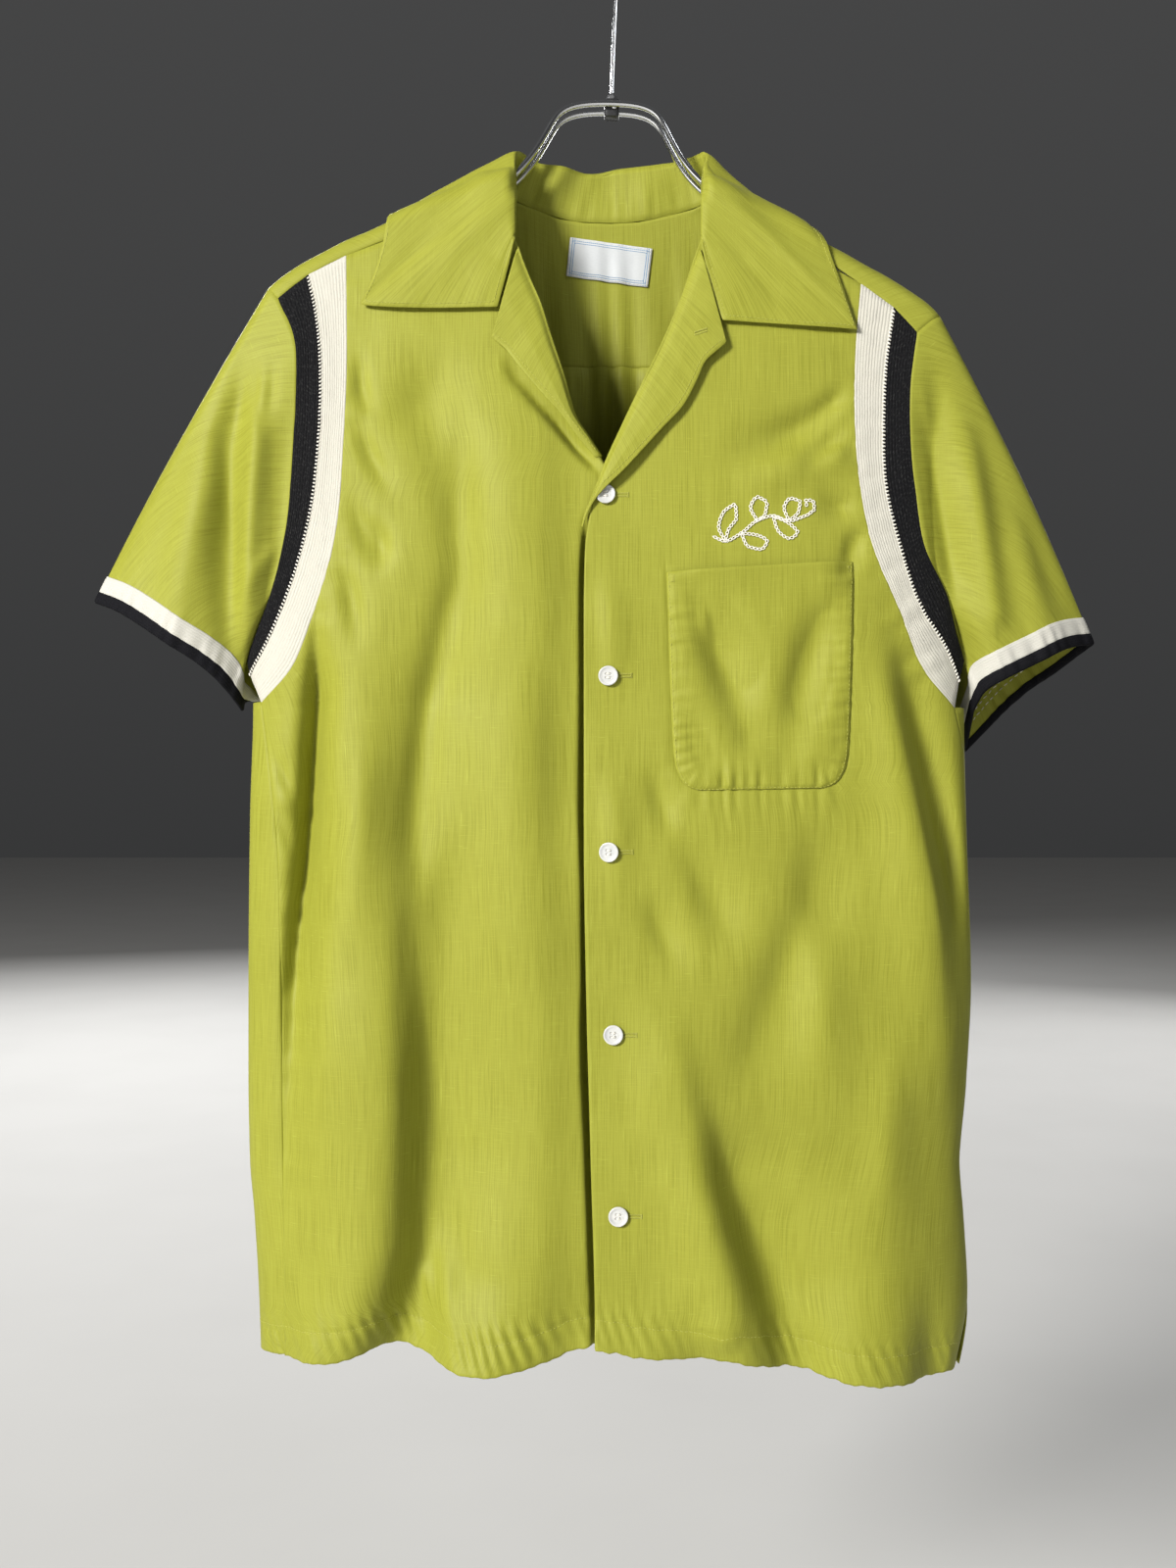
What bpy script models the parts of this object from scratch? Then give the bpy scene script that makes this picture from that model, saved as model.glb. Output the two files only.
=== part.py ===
"""A camp-collar bowling shirt on a wire hanger, hung by the hook.

All lengths in the tables are millimetres, with +Z up, the shirt's front toward -Y and the
wearer's left toward +X. The origin is the point where the hook rests on a rail.
"""

import math

import bmesh
import bpy
import numpy as np

MM = 0.001
WALL = 1.2  # cloth
GAP = 0.3  # between neighbours at a seam

# Top of the shoulders, seen from the front: x, z
RIDGE = [
    (-240, -286), (-222, -259.6), (-203, -244.5), (-184, -234), (-171, -227.2), (-156, -221),
    (-140, -213.5), (-107, -199.5), (-95, -194), (-80, -187), (-60, -185), (0, -186), (58, -189),
    (72, -191.5), (90, -199), (99, -204), (120, -216), (137, -228.5), (150, -235.5), (163, -243),
    (176, -250), (192, -260), (202, -267), (210, -275), (215, -283.5), (226, -306),
]

# Body at each height: z, half width on -X, half width on +X, side y, front depth, back depth
BODY = [
    (-962, 226, 220, 2, 57, 50),
    (-905, 228, 230, 2, 56, 50),
    (-855, 231, 227.5, 2, 54, 50),
    (-820, 234, 225, 2, 53, 50),
    (-765, 235, 229.5, 2, 52, 50),
    (-705, 235, 232.5, 2, 51, 49),
    (-600, 234, 229.5, 2, 50, 48),
    (-530, 232, 228, 2, 49, 47),
    (-498, 236, 228, 1, 49, 46),
    (-470, 235, 226, 0, 49, 46),
    (-430, 230, 219, 0, 49, 45),
    (-366, 226, 213, 0, 49, 45),
    (-300, 232, 215, 0, 50, 46),
    (-180, 244, 232, 0, 50, 46),
]

# Folds of the fronts, drawn along their length. Each point: x, z, height (minus is a trough),
# width toward -X, width toward +X
FRONT_FOLDS = [
    [(-104, -560, 0, 50, 20), (-125, -660, 5, 55, 16), (-134, -760, 9, 55, 15),
     (-136, -860, 10, 50, 15), (-160, -945, 13, 38, 24)],
    [(-100, -400, 0, 25, 40), (-112, -530, -5, 24, 45), (-119, -670, -9, 16, 55),
     (-115, -780, -11, 17, 60), (-118, -870, -12, 20, 52), (-143, -945, -15, 20, 26)],
    [(-104, -850, 0, 8, 9), (-104, -890, 4, 8, 9), (-98, -945, 3, 9, 10)],
    [(-78, -800, 0, 30, 40), (-82, -880, 6, 26, 42), (-84, -945, 14, 30, 40)],
    [(-181, -480, 0, 8, 10), (-186, -530, -9, 10, 14), (-192, -600, -11, 10, 14),
     (-199, -690, -8, 8, 15), (-205, -800, -3, 8, 14), (-206, -860, 0, 8, 12)],
    [(-160, -470, 0, 25, 25), (-168, -580, 5, 18, 28), (-175, -720, 4, 20, 30),
     (-178, -860, 2, 20, 30)],
    [(-100, -300, 0, 20, 20), (-118, -335, -4, 16, 18), (-140, -362, 0, 14, 16)],
    [(-70, -320, 0, 30, 30), (-62, -430, 3, 34, 34), (-60, -600, 3, 40, 34), (-62, -760, 0, 40, 34)],
    [(28, -700, 0, 24, 14), (42, -770, 4, 26, 12), (66, -850, 8, 30, 13), (88, -905, 9, 30, 14),
     (92, -950, 4, 24, 14)],
    [(60, -760, 0, 12, 40), (76, -830, -8, 14, 46), (94, -890, -11, 15, 46), (106, -950, -6, 20, 30)],
    [(134, -580, 0, 16, 22), (124, -655, -5, 15, 22), (92, -740, -4, 18, 26), (78, -790, 0, 18, 26)],
    [(38, -600, 0, 10, 14), (62, -650, -4, 11, 16), (80, -690, 0, 12, 16)],
    [(160, -470, 0, 16, 20), (182, -560, 6, 20, 13), (200, -650, 9, 26, 11), (208, -740, 4, 26, 14),
     (208, -800, 0, 26, 14)],
    [(176, -470, 0, 9, 12), (192, -540, -8, 10, 14), (212, -620, -9, 10, 12), (222, -680, 0, 9, 12)],
    [(148, -345, 0, 10, 10), (110, -358, -3.5, 11, 12), (60, -374, 0, 12, 12)],
    [(146, -372, 0, 8, 10), (112, -380, 2.5, 10, 12), (70, -396, 0, 12, 12)],
    [(46, -460, 0, 9, 14), (66, -500, -5, 10, 16), (84, -545, -3, 11, 16), (90, -570, 0, 12, 16)],
    [(136, -450, 0, 12, 12), (122, -500, -4, 12, 12), (110, -555, -2, 13, 12), (104, -580, 0, 12, 12)],
    [(150, -800, 0, 40, 40), (160, -880, 5, 45, 40), (165, -955, 9, 45, 40)],
    [(20, -880, 0, 30, 30), (20, -945, 3, 30, 30)],
    [(56, -900, 0, 18, 16), (54, -945, -5, 20, 16)],
]

# Folds of the back: x, z, height, width toward -X, width toward +X
BACK_FOLDS = [
    [(-90, -296, 4, 9, 9), (-96, -420, 5, 22, 22), (-112, -650, 7, 34, 34), (-120, -955, 13, 40, 40)],
    [(-52, -420, 0, 26, 26), (-58, -680, -6, 30, 30), (-60, -955, -11, 34, 34)],
    [(0, -330, 0, 24, 24), (4, -640, 5, 36, 36), (8, -955, 10, 40, 40)],
    [(58, -420, 0, 26, 26), (62, -680, -6, 30, 30), (66, -955, -11, 34, 34)],
    [(86, -302, 4, 9, 9), (96, -420, 5, 22, 22), (118, -650, 7, 34, 34), (128, -955, 12, 40, 40)],
    [(-178, -460, 0, 20, 20), (-176, -680, -6, 22, 24), (-174, -955, -8, 24, 26)],
    [(176, -470, 0, 20, 20), (178, -680, -6, 22, 24), (180, -955, -8, 24, 26)],
]

# Hem of the fronts and of the back: x, z
FRONT_HEM = [
    (-240, -941), (-222, -939), (-205, -937), (-183, -934), (-165, -932), (-150, -928),
    (-138, -927), (-122, -930), (-100, -934), (-80, -936), (-47, -932), (-11, -924), (18, -929),
    (42, -931), (71, -932), (106, -940), (141, -946), (172, -949), (198, -951), (221, -952.5),
    (240, -955),
]
BACK_HEM = [(-240, -941), (-226, -941.5), (-150, -947), (0, -951), (150, -956), (221, -952.5), (240, -953)]

# Edge where each front ends at the neck and the opening, from the hem up: x, z
RIGHT_EDGE = [
    (15, -955), (15, -430), (9, -399), (-5, -377), (-24, -349), (-46, -275), (-61.5, -233.5),
    (-68, -218), (-74, -206),
]
LEFT_EDGE = [
    (-11, -955), (-11, -924), (-13.5, -819), (-16.5, -698), (-17.7, -608), (-17.7, -470),
    (-17, -433), (-13, -406), (-2.6, -376), (8, -352), (34, -298), (56, -234), (62, -220), (67, -209),
]

# Where each front meets the white insert, the white meets the black, and the black meets the
# sleeve, from the underarm up: x, z
RIGHT_INSERT = [
    [(-224, -526), (-203, -505.4), (-189, -474), (-175, -428.5), (-169, -363), (-167.6, -319),
     (-168.2, -277), (-169.2, -241.8)],
    [(-232, -508.5), (-220.4, -491), (-203, -454), (-190, -409), (-185, -368), (-183.5, -325),
     (-187.3, -280), (-193.2, -254)],
    [(-235, -498), (-227.5, -482.6), (-217, -458.4), (-206.4, -416.4), (-202, -366),
     (-200, -327.4), (-201.5, -295), (-212.6, -269)],
]
LEFT_INSERT = [
    [(218.6, -529.5), (198, -507), (180, -468), (162.4, -426), (155, -388), (152.5, -344),
     (154.3, -299), (158.2, -260)],
    [(221.6, -513), (211.5, -492), (195, -468), (180.5, -428), (171.4, -387.6), (170.7, -352),
     (173, -313), (179, -275)],
    [(226.5, -498.5), (220.2, -484), (213.2, -458.4), (198.5, -430), (192, -394), (188.6, -357),
     (189.6, -320), (194, -291)],
]

# Side seams, from the hem up to the underarm: x, z. The one on +X turns onto the back.
RIGHT_SIDE = [(-205, -955), (-207.8, -826), (-209.6, -702), (-211.5, -628), (-218, -566), (-224, -526)]

# Armholes on the back, from the underarm up to the yoke: x, z
RIGHT_BACK_ARM = [(-224, -526), (-229, -495), (-217, -450), (-206, -400), (-201, -350), (-209, -297)]
LEFT_BACK_ARM = [(218.6, -529.5), (222, -497), (212, -455), (200, -410), (195, -360), (203, -308)]


def ease(keys, values, at):
    """Smooth values through the keys, with no overshoot. Keys rise."""
    x = np.asarray(keys, float)
    y = np.asarray(values, float)
    step = np.diff(x)
    slope = np.diff(y) / step
    lean = np.empty_like(y)
    same = slope[:-1] * slope[1:] > 0
    total = np.where(same, slope[:-1] + slope[1:], 1)
    lean[1:-1] = np.where(same, 2 * slope[:-1] * slope[1:] / total, 0)
    lean[0] = slope[0]
    lean[-1] = slope[-1]
    at = np.clip(np.asarray(at, float), x[0], x[-1])
    i = np.clip(np.searchsorted(x, at, side="right") - 1, 0, len(x) - 2)
    t = (at - x[i]) / step[i]
    a = 2 * t**3 - 3 * t**2 + 1
    b = t**3 - 2 * t**2 + t
    c = 3 * t**2 - 2 * t**3
    d = t**3 - t**2
    return a * y[i] + b * step[i] * lean[i] + c * y[i + 1] + d * step[i] * lean[i + 1]


def column(rows, k):
    return [row[k] for row in rows]


def along(points, at):
    """Points on a smooth curve through the given ones, at shares of its length."""
    p = np.asarray(points, float)
    length = np.r_[0, np.cumsum(np.linalg.norm(np.diff(p, axis=0), axis=1))]
    length /= length[-1]
    slope = np.diff(p, axis=0) / np.diff(length)[:, None]
    weight = np.diff(length)
    lean = np.empty_like(p)
    share = (weight[:-1] / (weight[:-1] + weight[1:]))[:, None]
    lean[1:-1] = slope[:-1] * (1 - share) + slope[1:] * share
    lean[0] = slope[0]
    lean[-1] = slope[-1]
    at = np.asarray(at, float)
    i = np.clip(np.searchsorted(length, at, side="right") - 1, 0, len(p) - 2)
    h = weight[i][..., None]
    t = ((at - length[i]) / weight[i])[..., None]
    a = 2 * t**3 - 3 * t**2 + 1
    b = t**3 - 2 * t**2 + t
    c = 3 * t**2 - 2 * t**3
    d = t**3 - t**2
    return a * p[i] + b * h * lean[i] + c * p[i + 1] + d * h * lean[i + 1]


def ridge(x):
    return ease(column(RIDGE, 0), column(RIDGE, 1), x)


def body(z, k):
    return ease(column(BODY, 0), column(BODY, k), z)


def folds(table, x, z):
    """Height of all folds of a table at points (x, z)."""
    x, z = np.broadcast_arrays(np.asarray(x, float), np.asarray(z, float))
    total = np.zeros(x.shape)
    for fold in table:
        near = np.full(x.shape, 1e9)
        value = np.zeros(x.shape)
        for (ax, az, ah, al, ar), (bx, bz, bh, bl, br) in zip(fold[:-1], fold[1:]):
            dx = bx - ax
            dz = bz - az
            t = np.clip(((x - ax) * dx + (z - az) * dz) / (dx * dx + dz * dz), 0, 1)
            off_x = x - ax - t * dx
            off_z = z - az - t * dz
            away = np.hypot(off_x, off_z)
            side = off_x * abs(dz) - off_z * dx * (1 if dz < 0 else -1) * -1
            side = np.where(np.abs(side) < 1e-9, off_x, side)
            width = np.where(side < 0, al + (bl - al) * t, ar + (br - ar) * t)
            smooth = t * t * (3 - 2 * t)
            height = (ah + (bh - ah) * smooth) * np.exp(-((away / width) ** 2))
            value = np.where(away < near, height, value)
            near = np.minimum(near, away)
        total = total + value
    return total


def cap(below, slope):
    """Distance of the cloth from the shoulder's top line, at a depth below it."""
    round_to = 13.0
    t = np.clip(np.asarray(below, float), 0, None)
    inside = 1 - np.clip(t / round_to, 0, 1)
    return 17 * np.sqrt(np.clip(1 - inside**2, 0, 1)) + slope * t


def section(x, z, k):
    """Depth of the body's section at x, from its side to the front (4) or the back (5)."""
    half = np.where(np.asarray(x) < 0, body(z, 1), body(z, 2))
    share = np.clip(np.abs(x) / half, 0, 1)
    return body(z, k) * (1 - share**2.3) ** (1 / 2.3)


def softer(a, b):
    """The smaller of two depths, blended where they are close."""
    a = np.clip(a, 1e-3, None)
    b = np.clip(b, 1e-3, None)
    return (a**-5.0 + b**-5.0) ** (-1 / 5.0)


def front_y(x, z):
    below = ridge(x) - z
    depth = softer(cap(below, 0.13), section(x, z, 4))
    calm = np.clip(depth / 22, 0, 1) * np.clip((below - 30) / 50, 0, 1)
    return body(z, 3) * np.clip((below - 60) / 200, 0, 1) - depth - calm * folds(FRONT_FOLDS, x, z)


def back_y(x, z):
    below = ridge(x) - z
    depth = softer(cap(below, 0.22), section(x, z, 5))
    calm = np.clip(depth / 22, 0, 1) * np.clip((below - 60) / 60, 0, 1)
    return body(z, 3) * np.clip((below - 60) / 200, 0, 1) + depth + calm * folds(BACK_FOLDS, x, z)


def by_z(points, z):
    """x at heights z on an edge whose points rise."""
    order = sorted(points, key=lambda p: p[1])
    return ease(column(order, 1), column(order, 0), z)


def front_points(flat):
    flat = np.asarray(flat, float)
    return np.stack([flat[..., 0], front_y(flat[..., 0], flat[..., 1]), flat[..., 1]], axis=-1)


def back_points(flat):
    flat = np.asarray(flat, float)
    return np.stack([flat[..., 0], back_y(flat[..., 0], flat[..., 1]), flat[..., 1]], axis=-1)


# How the cloth is divided. Rows at the armhole are shared by the inserts, the fronts and the
# sleeves, so that neighbours meet along the same line.
ARM_ROWS = 11
LOW_ROWS = 14
FRONT_COLS = 15


def insert_lines(table):
    """The three lines of an insert pair, each with the same rows."""
    return [along(line, np.linspace(0, 1, ARM_ROWS + 1)) for line in table]


def front_panel(edge, side, insert):
    """Grid of one front: rows from hem to shoulder seam, columns from opening to side."""
    inner_line = insert_lines(insert)[0]
    under_z = inner_line[0][1]
    rows = []
    low = np.linspace(0, 1, LOW_ROWS + 1)
    for t in low[:-1]:
        z = -940 + t * (under_z + 940)
        rows.append((z, (side(z), z), 1 - t))
    top_z = edge[-1][1]
    high = np.linspace(0, 1, ARM_ROWS + 1)
    for t, out in zip(high, inner_line):
        z = under_z + (top_z - under_z) * t
        rows.append((z, (out[0], out[1]), 0))
    grid = []
    for z, (out_x, out_z), hang in rows:
        in_x = by_z(edge, z)
        u = np.linspace(0, 1, FRONT_COLS + 1)
        half = abs(out_x) / (body(z, 1) if out_x < 0 else body(z, 2))
        if half > 0.97:
            u = np.sin(u * math.pi / 2) * 0.8 + u * 0.2
        x = in_x + (out_x - in_x) * u
        level = z + (out_z - z) * u
        hem = ease(column(FRONT_HEM, 0), column(FRONT_HEM, 1), x)
        fall = np.clip((hang - 0.35) / 0.65, 0, 1)
        level = level + (hem + 940) * fall
        grid.append(np.stack([x, level], axis=-1))
    return np.array(grid)


def right_side(z):
    return by_z(RIGHT_SIDE, z)


def left_side(z):
    return body(z, 2) - 0.4 + np.clip((np.asarray(z) + 560) / 30, 0, 1) * (218.6 - body(z, 2) + 0.4)


def ring_row(z, left, right):
    """The back's row at height z: x and y from one edge round the back to the other."""
    wide_l = float(body(z, 1))
    wide_r = float(body(z, 2))
    turn = np.linspace(0, 1, 160)
    parts = []
    if left[1] == "front":
        x = left[0] + (-wide_l - left[0]) * np.sin(np.linspace(0, 1, 40) * math.pi / 2)
        parts.append(np.stack([x, front_y(x, np.full_like(x, z))], axis=-1)[:-1])
        start = -wide_l
    else:
        start = left[0]
    end = wide_r if right[1] == "front" else right[0]
    s0 = math.asin(max(-1, start / wide_l))
    s1 = math.asin(min(1, end / wide_r))
    angle = s0 + (s1 - s0) * turn
    x = np.where(angle < 0, wide_l, wide_r) * np.sin(angle)
    parts.append(np.stack([x, back_y(x, np.full_like(x, z))], axis=-1))
    if right[1] == "front":
        x = right[0] + (wide_r - right[0]) * np.sin(np.linspace(1, 0, 40) * math.pi / 2)
        parts.append(np.stack([x, front_y(x, np.full_like(x, z))], axis=-1)[1:])
    return np.concatenate(parts)


BACK_SHARES = np.r_[
    0, 0.018, 0.04, 0.066, 0.1, 0.14, np.linspace(0.185, 0.815, 12), 0.86, 0.9, 0.934, 0.96, 0.982, 1
]


def yoke_seam_z(x):
    return ease([-230, -209, 0, 203, 230], [-294, -297, -297.5, -308, -310], x)


def back_panel():
    """Grid of the back: rows from hem to yoke seam, columns round from -X to +X."""
    arm_l = along(RIGHT_BACK_ARM, np.linspace(0, 1, ARM_ROWS + 1))
    arm_r = along(LEFT_BACK_ARM, np.linspace(0, 1, ARM_ROWS + 1))
    under_l = arm_l[0][1]
    under_r = arm_r[0][1]
    grid = []
    for t in np.linspace(0, 1, LOW_ROWS + 1)[:-1]:
        zl = -940 + t * (under_l + 940)
        zr = -940 + t * (under_r + 940)
        z = (zl + zr) / 2
        xl = float(right_side(zl))
        xr = float(left_side(zr))
        line = ring_row(z, (xl, "front"), (xr, "front"))
        length = np.r_[0, np.cumsum(np.linalg.norm(np.diff(line, axis=0), axis=1))]
        share = length / length[-1]
        x = np.interp(BACK_SHARES, share, line[:, 0])
        y = np.interp(BACK_SHARES, share, line[:, 1])
        hem = ease(column(BACK_HEM, 0), column(BACK_HEM, 1), x)
        edge_l = ease(column(FRONT_HEM, 0), column(FRONT_HEM, 1), [xl])[0]
        edge_r = ease(column(FRONT_HEM, 0), column(FRONT_HEM, 1), [xr])[0]
        hem = hem + (edge_l - hem) * np.clip(1 - BACK_SHARES / 0.06, 0, 1)
        hem = hem + (edge_r - hem) * np.clip(1 - (1 - BACK_SHARES) / 0.06, 0, 1)
        fall = np.clip((1 - t - 0.35) / 0.65, 0, 1)
        level = zl + (zr - zl) * BACK_SHARES + (hem + 940) * fall
        x[0], x[-1] = xl, xr
        row = np.stack([x, y, level], axis=-1)
        row[0] = front_points([[xl, level[0]]])[0]
        row[-1] = front_points([[xr, level[-1]]])[0]
        grid.append(row)
    for k in range(ARM_ROWS + 1):
        (xl, zl), (xr, zr) = arm_l[k], arm_r[k]
        kind = "front" if k == 0 else "back"
        z = (zl + zr) / 2
        line = ring_row(z, (float(xl), kind), (float(xr), kind))
        length = np.r_[0, np.cumsum(np.linalg.norm(np.diff(line, axis=0), axis=1))]
        share = length / length[-1]
        x = np.interp(BACK_SHARES, share, line[:, 0])
        y = np.interp(BACK_SHARES, share, line[:, 1])
        level = zl + (zr - zl) * BACK_SHARES
        if k == ARM_ROWS:
            level = np.asarray(yoke_seam_z(x))
        flat = np.stack([x, level], axis=-1)
        row = back_points(flat)
        if k == 0:
            row[:, 1] = y
            row[0] = front_points([[xl, zl]])[0]
            row[-1] = front_points([[xr, zr]])[0]
        else:
            row[0] = back_points([[xl, level[0]]])[0]
            row[-1] = back_points([[xr, level[-1]]])[0]
        grid.append(row)
    return np.array(grid)


# Yoke, column by column from -X to +X. Start x and z, start on the front (-1), on the top
# line (0) or on the back (1), x where it crosses the top line, x at the back seam
YOKE = [
    (-212.6, -269, -1, -221.5, -209), (-203, -261, -1, -212, -200), (-193.2, -254, -1, -201, -190),
    (-181, -247.3, -1, -189, -178), (-169.2, -241.8, -1, -176, -166), (-150, -234, -1, -157, -148),
    (-130, -226.3, -1, -137, -130), (-110, -218.7, -1, -118, -112), (-92, -212.3, -1, -101, -96),
    (-74, -206, -1, -87, -85), (-77, -192.6, -1, -83, -80), (-79, -188.6, -1, -81, -76),
    (-80, -187, 0, -80, -72), (-74, -189, 1, -74, -65),
    (-64, -193.5, 1, -64, -56), (-48, -199, 1, -48, -44), (-34, -204, 1, -34, -31),
    (-18, -206.3, 1, -18, -16), (0, -206.9, 1, 0, 0), (18, -206, 1, 18, 16), (38, -202, 1, 38, 34),
    (54, -198.5, 1, 54, 48), (66, -194.2, 1, 66, 58), (72, -191.5, 0, 72, 64),
    (71.2, -192.9, -1, 73.5, 68), (69.6, -196.6, -1, 76, 73), (67, -209, -1, 81, 78),
    (84, -217.3, -1, 96, 92), (104, -227.3, -1, 115, 110),
    (124, -238, -1, 133, 127), (142, -248.6, -1, 151, 144), (158.2, -260, -1, 167, 160),
    (168.5, -267, -1, 178, 171), (179, -275, -1, 189, 182), (186.5, -282.5, -1, 200, 192),
    (194, -291, -1, 212.5, 203),
]


def yoke_panel():
    """Grid of the yoke: rows from the front seam over the shoulder to the back seam."""
    columns = []
    for start_x, start_z, kind, top_x, end_x in YOKE:
        end_below = float(ridge(end_x) - yoke_seam_z(end_x))
        start_below = float(ridge(start_x)) - start_z
        if kind < 0:
            round_to = min(13.0, 0.8 * start_below)
            reach = math.acos(1 - round_to / 13)
            before = [-13 * (1 - math.cos(reach * s)) for s in (1, 0.55, 0.18)]
            after = [13 * (1 - math.cos(math.radians(turn))) for turn in (20, 55, 90)]
            stations = [-start_below] + before + after
        else:
            stations = [start_below + (end_below - start_below) * s
                        for s in (0, 0.012, 0.027, 0.045, 0.075, 0.13, 0.24)]
        last = stations[-1]
        stations += [last + (end_below - last) * s for s in (1 / 3, 2 / 3, 1)]
        points = []
        for s in stations:
            if s < 0:
                share = s / stations[0]
                x = top_x + (start_x - top_x) * share
            else:
                from_x = top_x if kind < 0 else start_x
                low = 0 if kind < 0 else stations[0]
                x = from_x + (end_x - from_x) * (s - low) / (end_below - low)
            z = float(ridge(x)) - abs(s)
            if s == stations[0]:
                z = start_z
            if s == stations[-1]:
                z = float(yoke_seam_z(x))
            y = front_y(x, z) if s < 0 else back_y(x, z)
            points.append((x, float(y), z))
        columns.append(points)
    return np.array(columns).transpose(1, 0, 2)


# Edge of each sleeve's hem, from the underarm along the front to the tip, then along the back
# to the underarm: x, y, z
RIGHT_SLEEVE_HEM = [
    (-240, 1, -530), (-245.5, -10, -520), (-253, -18, -510), (-267, -21.5, -498.2),
    (-280, -22, -490), (-299.4, -19, -477.2), (-316.5, -12, -467.2), (-334.5, 0, -460.2),
    (-317, 12, -464), (-300, 20, -472), (-281, 24, -483), (-264, 24, -493), (-250, 18, -506),
    (-241, 9, -523),
]
LEFT_SLEEVE_HEM = [
    (234.5, 1, -531), (240, -15, -517.2), (251, -22, -510.1), (262, -21, -504.7),
    (273.8, -18, -499.1), (290, -12, -491.4), (301, -6, -488.5), (312.4, 1, -487.2),
    (304.3, 10, -494.5), (292, 18, -505), (279, 24, -514.3), (264.5, 27, -527), (250, 28, -542),
    (235.5, 24, -556),
]

# Folds of the sleeves: x, z, height, width toward -X, width toward +X
SLEEVE_FOLDS = [
    [(-232, -290, 0, 7, 9), (-243, -360, -7, 9, 12), (-246, -430, -8, 10, 12), (-242, -500, -5, 10, 12)],
    [(-222, -300, 0, 7, 7), (-225, -360, 5, 8, 8), (-231, -440, 4, 8, 7), (-236, -500, 1, 8, 8)],
    [(-252, -330, 0, 12, 14), (-268, -420, 4, 14, 12), (-276, -480, 3, 14, 12)],
    [(203, -300, 0, 7, 9), (205, -360, -8, 8, 11), (217, -430, -11, 9, 12), (228, -500, -6, 9, 12)],
    [(222, -320, 0, 12, 9), (232, -400, 5, 12, 9), (242, -470, 3, 12, 9)],
    [(228, -340, 0, 10, 14), (246, -420, -4, 11, 14), (256, -490, -3, 11, 14)],
    [(250, -380, 0, 12, 12), (268, -440, 3, 12, 12), (280, -495, 2, 12, 12)],
]
SLEEVE_ROWS = [0, 0.1, 0.24, 0.4, 0.58, 0.76]
WHITE_BAND = 11.0
BLACK_BAND = 7.0


def sleeve_grid(out_line, yoke_end, arm, hem):
    """Closed rows from armhole to hem. The loop runs up the front and down the back."""
    front = front_points(out_line)
    way = np.sign(front[0, 0])
    front[0] += (way * 3.2, 5.5, 0)
    front[1] += (way * 1.8, 2.4, 0)
    front[2] += (way * 0.5, 0.5, 0)
    back = back_points(arm)
    loop = np.concatenate([front, yoke_end[1:], back[::-1][1:-1]])
    top = len(front) - 1 + int(np.argmax(yoke_end[:, 2]))
    step = np.r_[0, np.cumsum(np.linalg.norm(np.diff(loop, axis=0), axis=1))]
    share = np.where(
        np.arange(len(loop)) <= top,
        step / step[top],
        1 + (step - step[top]) / (step[-1] - step[top]),
    )
    tip = len(hem) // 2
    front_hem = along(hem[:tip + 1], np.clip(share, 0, 1))
    back_hem = along(hem[tip:], np.clip(share - 1, 0, 1))
    ends = np.where((share <= 1)[:, None], front_hem, back_hem)
    length = np.linalg.norm(ends - loop, axis=1)
    trim = np.minimum(WHITE_BAND + BLACK_BAND, 0.75 * length)
    rows = []
    for v in SLEEVE_ROWS + [-2, -1, 0]:
        if v < 0 or (v == 0 and rows):
            left = {-2: 1.0, -1: BLACK_BAND / (WHITE_BAND + BLACK_BAND), 0: 0.0}[v]
            t = 1 - trim * left / length
        else:
            t = v * (1 - trim / length)
        rows.append(sleeve_row(loop, ends, t, share))
    return np.array(rows)


def sleeve_row(loop, ends, t, share):
    t = np.broadcast_to(np.asarray(t, float), share.shape)
    p = loop + (ends - loop) * t[:, None]
    swell = np.sin(np.pi * t)
    flank = np.sin(np.pi * np.clip(share, 0, 2))
    p[:, 1] -= 3.0 * swell * flank
    rise = np.exp(-(((share - 1) / 0.25) ** 2)) * swell * 3.5
    way = np.sign(p[:, 0])
    p[:, 0] += way * rise * 0.85
    p[:, 2] += rise * 0.5
    fade = np.clip(t * 6, 0, 1) * np.clip(np.abs(flank) * 2.2, 0, 1)
    lift = folds(SLEEVE_FOLDS, p[:, 0], p[:, 2]) * fade
    p[:, 1] += np.where(share < 1, -lift, lift * 0.8)
    return p


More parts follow.
